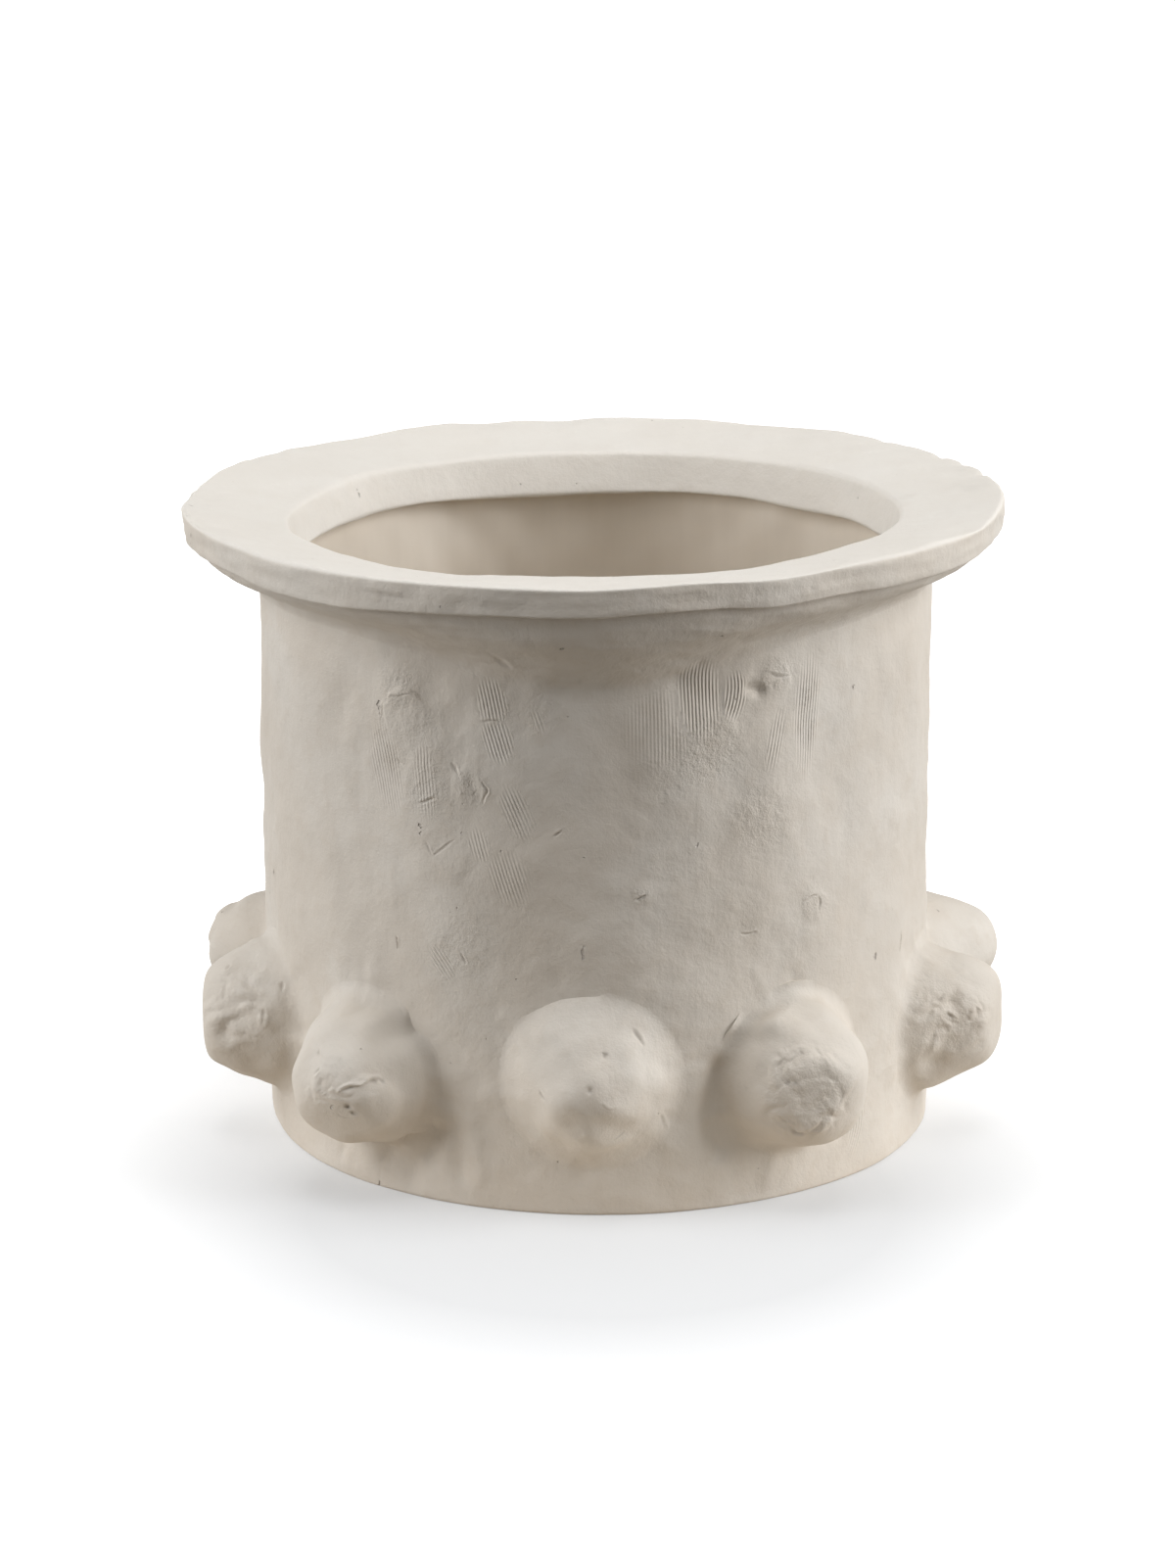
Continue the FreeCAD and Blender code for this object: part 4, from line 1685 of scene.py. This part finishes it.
@dataclass
class KnobBelt:
    """The ten knobs round the foot."""

    pot: PotSizes
    clay: WorkedClay
    knobs: tuple[Knob, ...] = (
        Knob(
            1,
            KnobEnd.SMOOTHED,
            rise=-11,
            reach_share=0.62,
            bluntness=6.0,
            root_radius=40.0,
            taper=1.05,
            marks=(
                Press(((-9, -9, 23),), 8, 1.5),
                Press(((5, -9, 23),), 8, 1.5),
                Press(((-2, -3, 24),), 11, 0.8),
                Press(((-3, 8, 24), (-3, -16, 21)), 0.8, -0.3),
                Press(((0, 9, 24),), 1.3, 1.2),
                Press(((7, 22, 16),), 1.2, 0.8),
                Press(((-30, 36, 1), (-14, 42, 1), (2, 44, 0)), 3.0, 1.0),
                Crease(((3, 3, 24), (12, -1, 23)), 0.8, 0.6),
                Crease(((-24, 4, 15), (-22, -1, 17)), 0.7, 0.7),
                Crease(((20, 29, 5), (25, 21, 7)), 0.8, 0.8),
                Crease(((32, -14, 5), (36, -24, 1)), 0.8, 0.7),
            ),
        ),
        Knob(
            2,
            KnobEnd.TORN,
            swing=-4,
            rise=-2,
            bluntness=4.5,
            crown=2.5,
            taper=0.32,
            rough=RoughSpot((-15, 3, 34), 21),
            facets=(Facet((-16, 4, 34), (-0.5, 0.1, 0.86)),),
            marks=(
                Press(((-24, 5, 31), (-21, -6, 35)), 2.0, -1.4),
                Press(((-13, 8, 38), (-17, -4, 38)), 2.0, -1.4),
                Press(((-19, 4, 35), (-19, -3, 36)), 2.6, 1.6),
                Press(((0, 38, 3), (1, 47, 0)), 7.0, -1.6),
                Press(((-40, 29, 0), (-17, 27, 12)), 4.5, -2.6),
                Press(((-32, 1, 12),), 1.3, 1.6),
                Press(((-23, 8, 31),), 1.5, 1.8),
                Press(((-20, 8, 33),), 1.2, 1.5),
                Crease(((-38, 26, 2), (-31, 24, 5)), 0.98, 0.98),
                Crease(((-27, 14, 24), (-14, 22, 26), (0, 20, 31)), 1, 0.91, 0.7),
                Crease(((-26, -8, 28), (-18, -17, 30), (-6, -16, 36)), 0.98, 0.91, 0.7),
                Crease(((-10, 2, 39), (-4, -8, 39)), 0.9, 0.84, 0.6),
            ),
        ),
        Knob(
            3,
            KnobEnd.PITTED,
            swing=3,
            rise=3,
            rough=RoughSpot((-27, 7, 22), 21),
            marks=(
                Press(((-27, -15, 14),), 6.0, 2.0),
                Press(((-24, 14, 22),), 3.5, 1.4),
                Press(((-30, -2, 17),), 3.5, 1.4),
                Press(((-18, -8, 33),), 3.0, 1.2),
                Crease(((-37, 19, 1), (-32, 24, 3)), 0.83, 0.91),
                Crease(((-28, 11, 20), (-25, 3, 25)), 0.83, 0.91),
                Crease(((-20, 12, 30), (-18, 5, 34)), 0.83, 0.91),
                Crease(((-31, 14, 14), (-24, 19, 18)), 0.83, 0.84),
            ),
        ),
        Knob(4, KnobEnd.SMOOTHED, rise=4, wide=1.04, marks=(Press(((12, 16, 30),), 9, 1.6),)),
        Knob(5, KnobEnd.FOLDED, swing=-3, rise=-4, facets=(Facet((8, 6, 36), (0.3, 0.2, 0.9)),)),
        Knob(6, KnobEnd.TORN, swing=3, rise=2, facets=(Facet((-8, -4, 36), (-0.25, -0.2, 0.9)),)),
        Knob(7, KnobEnd.SMOOTHED, swing=-3, rise=-4, marks=(Press(((3, -4, 40),), 10, 2.0, 1.5),)),
        Knob(8, KnobEnd.PITTED, swing=4, rise=5, marks=(Press(((-6, 22, 26), (6, 24, 26)), 5, 2.2),)),
        Knob(
            9,
            KnobEnd.PITTED,
            swing=-2,
            rough=RoughSpot((20, 10, 24), 22),
            facets=(Facet((0, 0, 37), (-0.25, 0.0, 0.97), 2.5),),
            marks=(
                Press(((27, 4, 25),), 6.0, 2.2),
                Press(((24, -2, 32),), 4.5, 1.8),
                Press(((20, 14, 26),), 4.0, 1.2),
                Crease(((4, 27, 23), (8, 25, 26)), 0.75, 0.77),
                Crease(((13, 19, 32), (16, 17, 34)), 0.75, 0.77),
                Crease(((28, 24, 4), (30, 19, 5)), 0.83, 0.77),
                Crease(((30, 12, 14), (31, 2, 15)), 0.83, 0.7, 0.7),
            ),
        ),
        Knob(
            10,
            KnobEnd.FOLDED,
            swing=5,
            rise=-5,
            bluntness=4.5,
            crown=2.5,
            taper=0.32,
            rough=RoughSpot((12, 2, 37), 20),
            facets=(Facet((9, -8, 36), (0.2, -0.5, 0.84)),),
            marks=(
                Press(((26, -4, 28),), 12.0, -2.0, 3.0),
                Press(((17, -3, 37),), 1.4, 3.0),
                Press(((19, -7, 36),), 1.4, 3.0),
                Press(((31, 28, 1),), 5.0, 3.0),
                Press(((1, -39, 2),), 7.0, 3.5),
                Press(((24, -33, 1),), 6.0, 3.5),
                Crease(((11, 3, 38), (18, 7, 35), (24, 10, 30), (31, 8, 22)), 0.9, 1.2, 0.8, 1.2),
                Crease(((-4, 23, 34), (0, 19, 37)), 0.75, 0.77),
                Crease(((2, 14, 39), (-2, 9, 39)), 0.75, 0.77),
                Crease(((-5, 5, 39), (-3, -2, 39)), 0.75, 0.77),
                Crease(((4, -4, 39), (12, -10, 38), (22, -12, 34)), 0.7, 0.56, 0.8),
                Crease(((26, -25, 5), (33, -26, 1), (35, -36, 0)), 0.98, 0.98),
            ),
        ),
    )

    def spread_smears(self) -> None:
        """Find each knob's place, and smear its clay onto the wall."""
        for knob in self.knobs:
            knob.read_place(self.pot)
            self.clay.presses += knob.smears(self.pot)

    def build(self, stoneware: bpy.types.Material) -> None:
        """Make all knobs with their collars."""
        for knob in self.knobs:
            knob.build(self.pot, self.clay, stoneware)


@dataclass(frozen=True)
class SoftBox:
    """A soft studio lamp, in metres.

    Attributes:
        name: object name.
        place: middle of the box.
        size: width and height.
        watts: power.
    """

    name: str
    place: tuple[float, float, float]
    size: tuple[float, float]
    watts: float


@dataclass
class Studio:
    """Floor, light and camera, in metres.

    Attributes:
        floor_size: side of the floor.
        near_tone: floor's tone for the light that it throws back onto the pot, close to the pot.
        far_tone: the same tone farther away, where the photo's paper ends.
        bounce_edge: distances where the near tone ends and the far tone begins.
        seen_tone: floor's tone where it is seen.
        shade_middle: middle of the grey patch that the photo shows round the pot.
        shade_edge: distances from it where the floor begins to whiten and where it is white.
        shade_glow: share of the white glow that is left in the patch, which paints a shadow round the pot.
        camera_place: place of the camera.
        camera_pitch: degrees from looking straight down.
        lens: focal length in millimetres.
        world_strength: light from all round.
        lamp_tone: colour of the lamps.
        lamp_aim: point that the lamps face.
        lamps: the lamps, two tall ones at the sides and one overhead.
    """

    floor_size: float = 30.0
    near_tone: str = "D4C9BA"
    far_tone: str = "5E5850"
    bounce_edge: tuple[float, float] = (0.24, 0.36)
    seen_tone: str = "B4B4B3"
    shade_middle: tuple[float, float, float] = (0, -0.15, 0)
    shade_edge: tuple[float, float] = (0.14, 0.38)
    shade_glow: float = 0.31
    camera_place: tuple[float, float, float] = (-0.0062, -2.0881, 0.7467)
    camera_pitch: float = 74.45
    lens: float = 99.8
    world_strength: float = 0.15
    lamp_tone: str = "F9FBFF"
    lamp_aim: tuple[float, float, float] = (0, 0, 0.2)
    lamps: tuple[SoftBox, ...] = (
        SoftBox("lamp_left", (-2.25, -0.48, 1.1), (1.4, 2.0), 50),
        SoftBox("lamp_right", (2.25, -0.48, 1.2), (1.4, 2.0), 67),
        SoftBox("lamp_top", (0, -0.35, 2.6), (1.6, 1.6), 29),
    )

    def build(self) -> None:
        """Make the floor, the lamps, the sky and the camera."""
        self.build_floor()
        self.build_sky()
        for lamp in self.lamps:
            self.add_lamp(lamp)
        self.build_camera()
        bpy.context.scene.view_settings.view_transform = "Standard"

    @staticmethod
    def seen_directly(tree: bpy.types.NodeTree) -> bpy.types.NodeSocket:
        """Tell rays that the camera sees straight, mirrored or through glass from those that only light.

        Args:
            tree: node tree of a material or sky.

        Returns:
            1 for the first and 0 for the others.
        """
        rays = add(tree, "ShaderNodeLightPath").outputs
        either = {"operation": "MAXIMUM"}
        mirrored = add(tree, "ShaderNodeMath", either, in_0=rays["Is Camera Ray"], in_1=rays["Is Glossy Ray"])
        through = rays["Is Transmission Ray"]
        return add(tree, "ShaderNodeMath", either, in_0=mirrored.outputs[0], in_1=through).outputs[0]

    def build_floor(self) -> None:
        """Make the white floor, which keeps the pot's shadow."""
        shape = bmesh.new()
        bmesh.ops.create_grid(shape, x_segments=2, y_segments=2, size=self.floor_size / 2)
        mesh = bpy.data.meshes.new("floor")
        shape.to_mesh(mesh)
        shape.free()
        paper = bpy.data.materials.new("white_paper_sweep")
        paper.use_nodes = True
        tree = paper.node_tree
        tree.nodes.clear()
        seen = self.seen_directly(tree)
        place = add(tree, "ShaderNodeTexCoord").outputs["Object"]
        away = add(tree, "ShaderNodeVectorMath", {"operation": "LENGTH"}, in_0=place)
        bounce = {"From Min": self.bounce_edge[0], "From Max": self.bounce_edge[1]}
        far = add(tree, "ShaderNodeMapRange", bounce, Value=away.outputs["Value"])
        # Where it is seen, the floor glows less near the pot: a painted shadow that lies most in front.
        from_middle = {"operation": "DISTANCE", 1: self.shade_middle}
        front = add(tree, "ShaderNodeVectorMath", from_middle, in_0=place)
        shade = {"From Min": self.shade_edge[0], "From Max": self.shade_edge[1], "To Min": self.shade_glow}
        white = add(tree, "ShaderNodeMapRange", shade, Value=front.outputs["Value"])
        glow = add(tree, "ShaderNodeMath", {"operation": "MULTIPLY"}, in_0=seen, in_1=white.outputs["Result"])
        tones = {"data_type": "RGBA", 6: linear(self.near_tone), 7: linear(self.far_tone)}
        lit = add(tree, "ShaderNodeMix", tones, in_0=far.outputs["Result"])
        shown = {"data_type": "RGBA", 7: linear(self.seen_tone)}
        paper_tone = add(tree, "ShaderNodeMix", shown, in_0=seen, in_6=lit.outputs[2])
        matt = add(tree, "ShaderNodeBsdfDiffuse", Color=paper_tone.outputs[2])
        light = add(tree, "ShaderNodeEmission", {"Color": linear("FFFFFF")}, Strength=glow.outputs[0])
        both = add(tree, "ShaderNodeAddShader", in_0=matt.outputs[0], in_1=light.outputs[0])
        add(tree, "ShaderNodeOutputMaterial", Surface=both.outputs[0])
        mesh.materials.append(paper)
        floor = bpy.data.objects.new("floor", mesh)
        bpy.context.scene.collection.objects.link(floor)

    def build_sky(self) -> None:
        """Make the soft light from all round, white where it is seen."""
        world = bpy.data.worlds.new("soft_room")
        world.use_nodes = True
        tree = world.node_tree
        tree.nodes.clear()
        levels = {"To Min": self.world_strength, "To Max": 1.0}
        strength = add(tree, "ShaderNodeMapRange", levels, Value=self.seen_directly(tree)).outputs["Result"]
        sky = add(tree, "ShaderNodeBackground", {"Color": linear("FFFFFF")}, Strength=strength)
        add(tree, "ShaderNodeOutputWorld", Surface=sky.outputs[0])
        bpy.context.scene.world = world

    def add_lamp(self, lamp: SoftBox) -> None:
        """Add a lamp.

        Args:
            lamp: its place, size and power.
        """
        light = bpy.data.lights.new(lamp.name, "AREA")
        light.shape = "RECTANGLE"
        light.size, light.size_y = lamp.size
        light.energy = lamp.watts
        light.color = linear(self.lamp_tone)[:3]
        box = bpy.data.objects.new(lamp.name, light)
        box.location = lamp.place
        towards = Vector(self.lamp_aim) - Vector(lamp.place)
        box.rotation_euler = towards.to_track_quat("-Z", "Y").to_euler()
        bpy.context.scene.collection.objects.link(box)

    def build_camera(self) -> None:
        """Set the camera where the photograph was taken from."""
        lens = bpy.data.cameras.new("camera")
        lens.lens = self.lens
        lens.sensor_width = 36.0
        camera = bpy.data.objects.new("camera", lens)
        camera.location = self.camera_place
        camera.rotation_euler = (math.radians(self.camera_pitch), 0, 0)
        bpy.context.scene.collection.objects.link(camera)
        bpy.context.scene.camera = camera


def main() -> None:
    """Build the pot and the studio."""
    logging.basicConfig(level=logging.INFO, format="%(message)s")
    pot = PotSizes.from_frame()
    clay = WorkedClay(pot)
    stoneware = UnglazedStoneware().material()
    glaze = InsideGlaze().material()
    belt = KnobBelt(pot, clay)
    belt.spread_smears()
    Wall(pot, clay).build(stoneware, glaze)
    Floor(pot).build(glaze)
    Rim(pot, clay).build(stoneware)
    belt.build(stoneware)
    Studio().build()


if __name__ == "__main__":
    main()
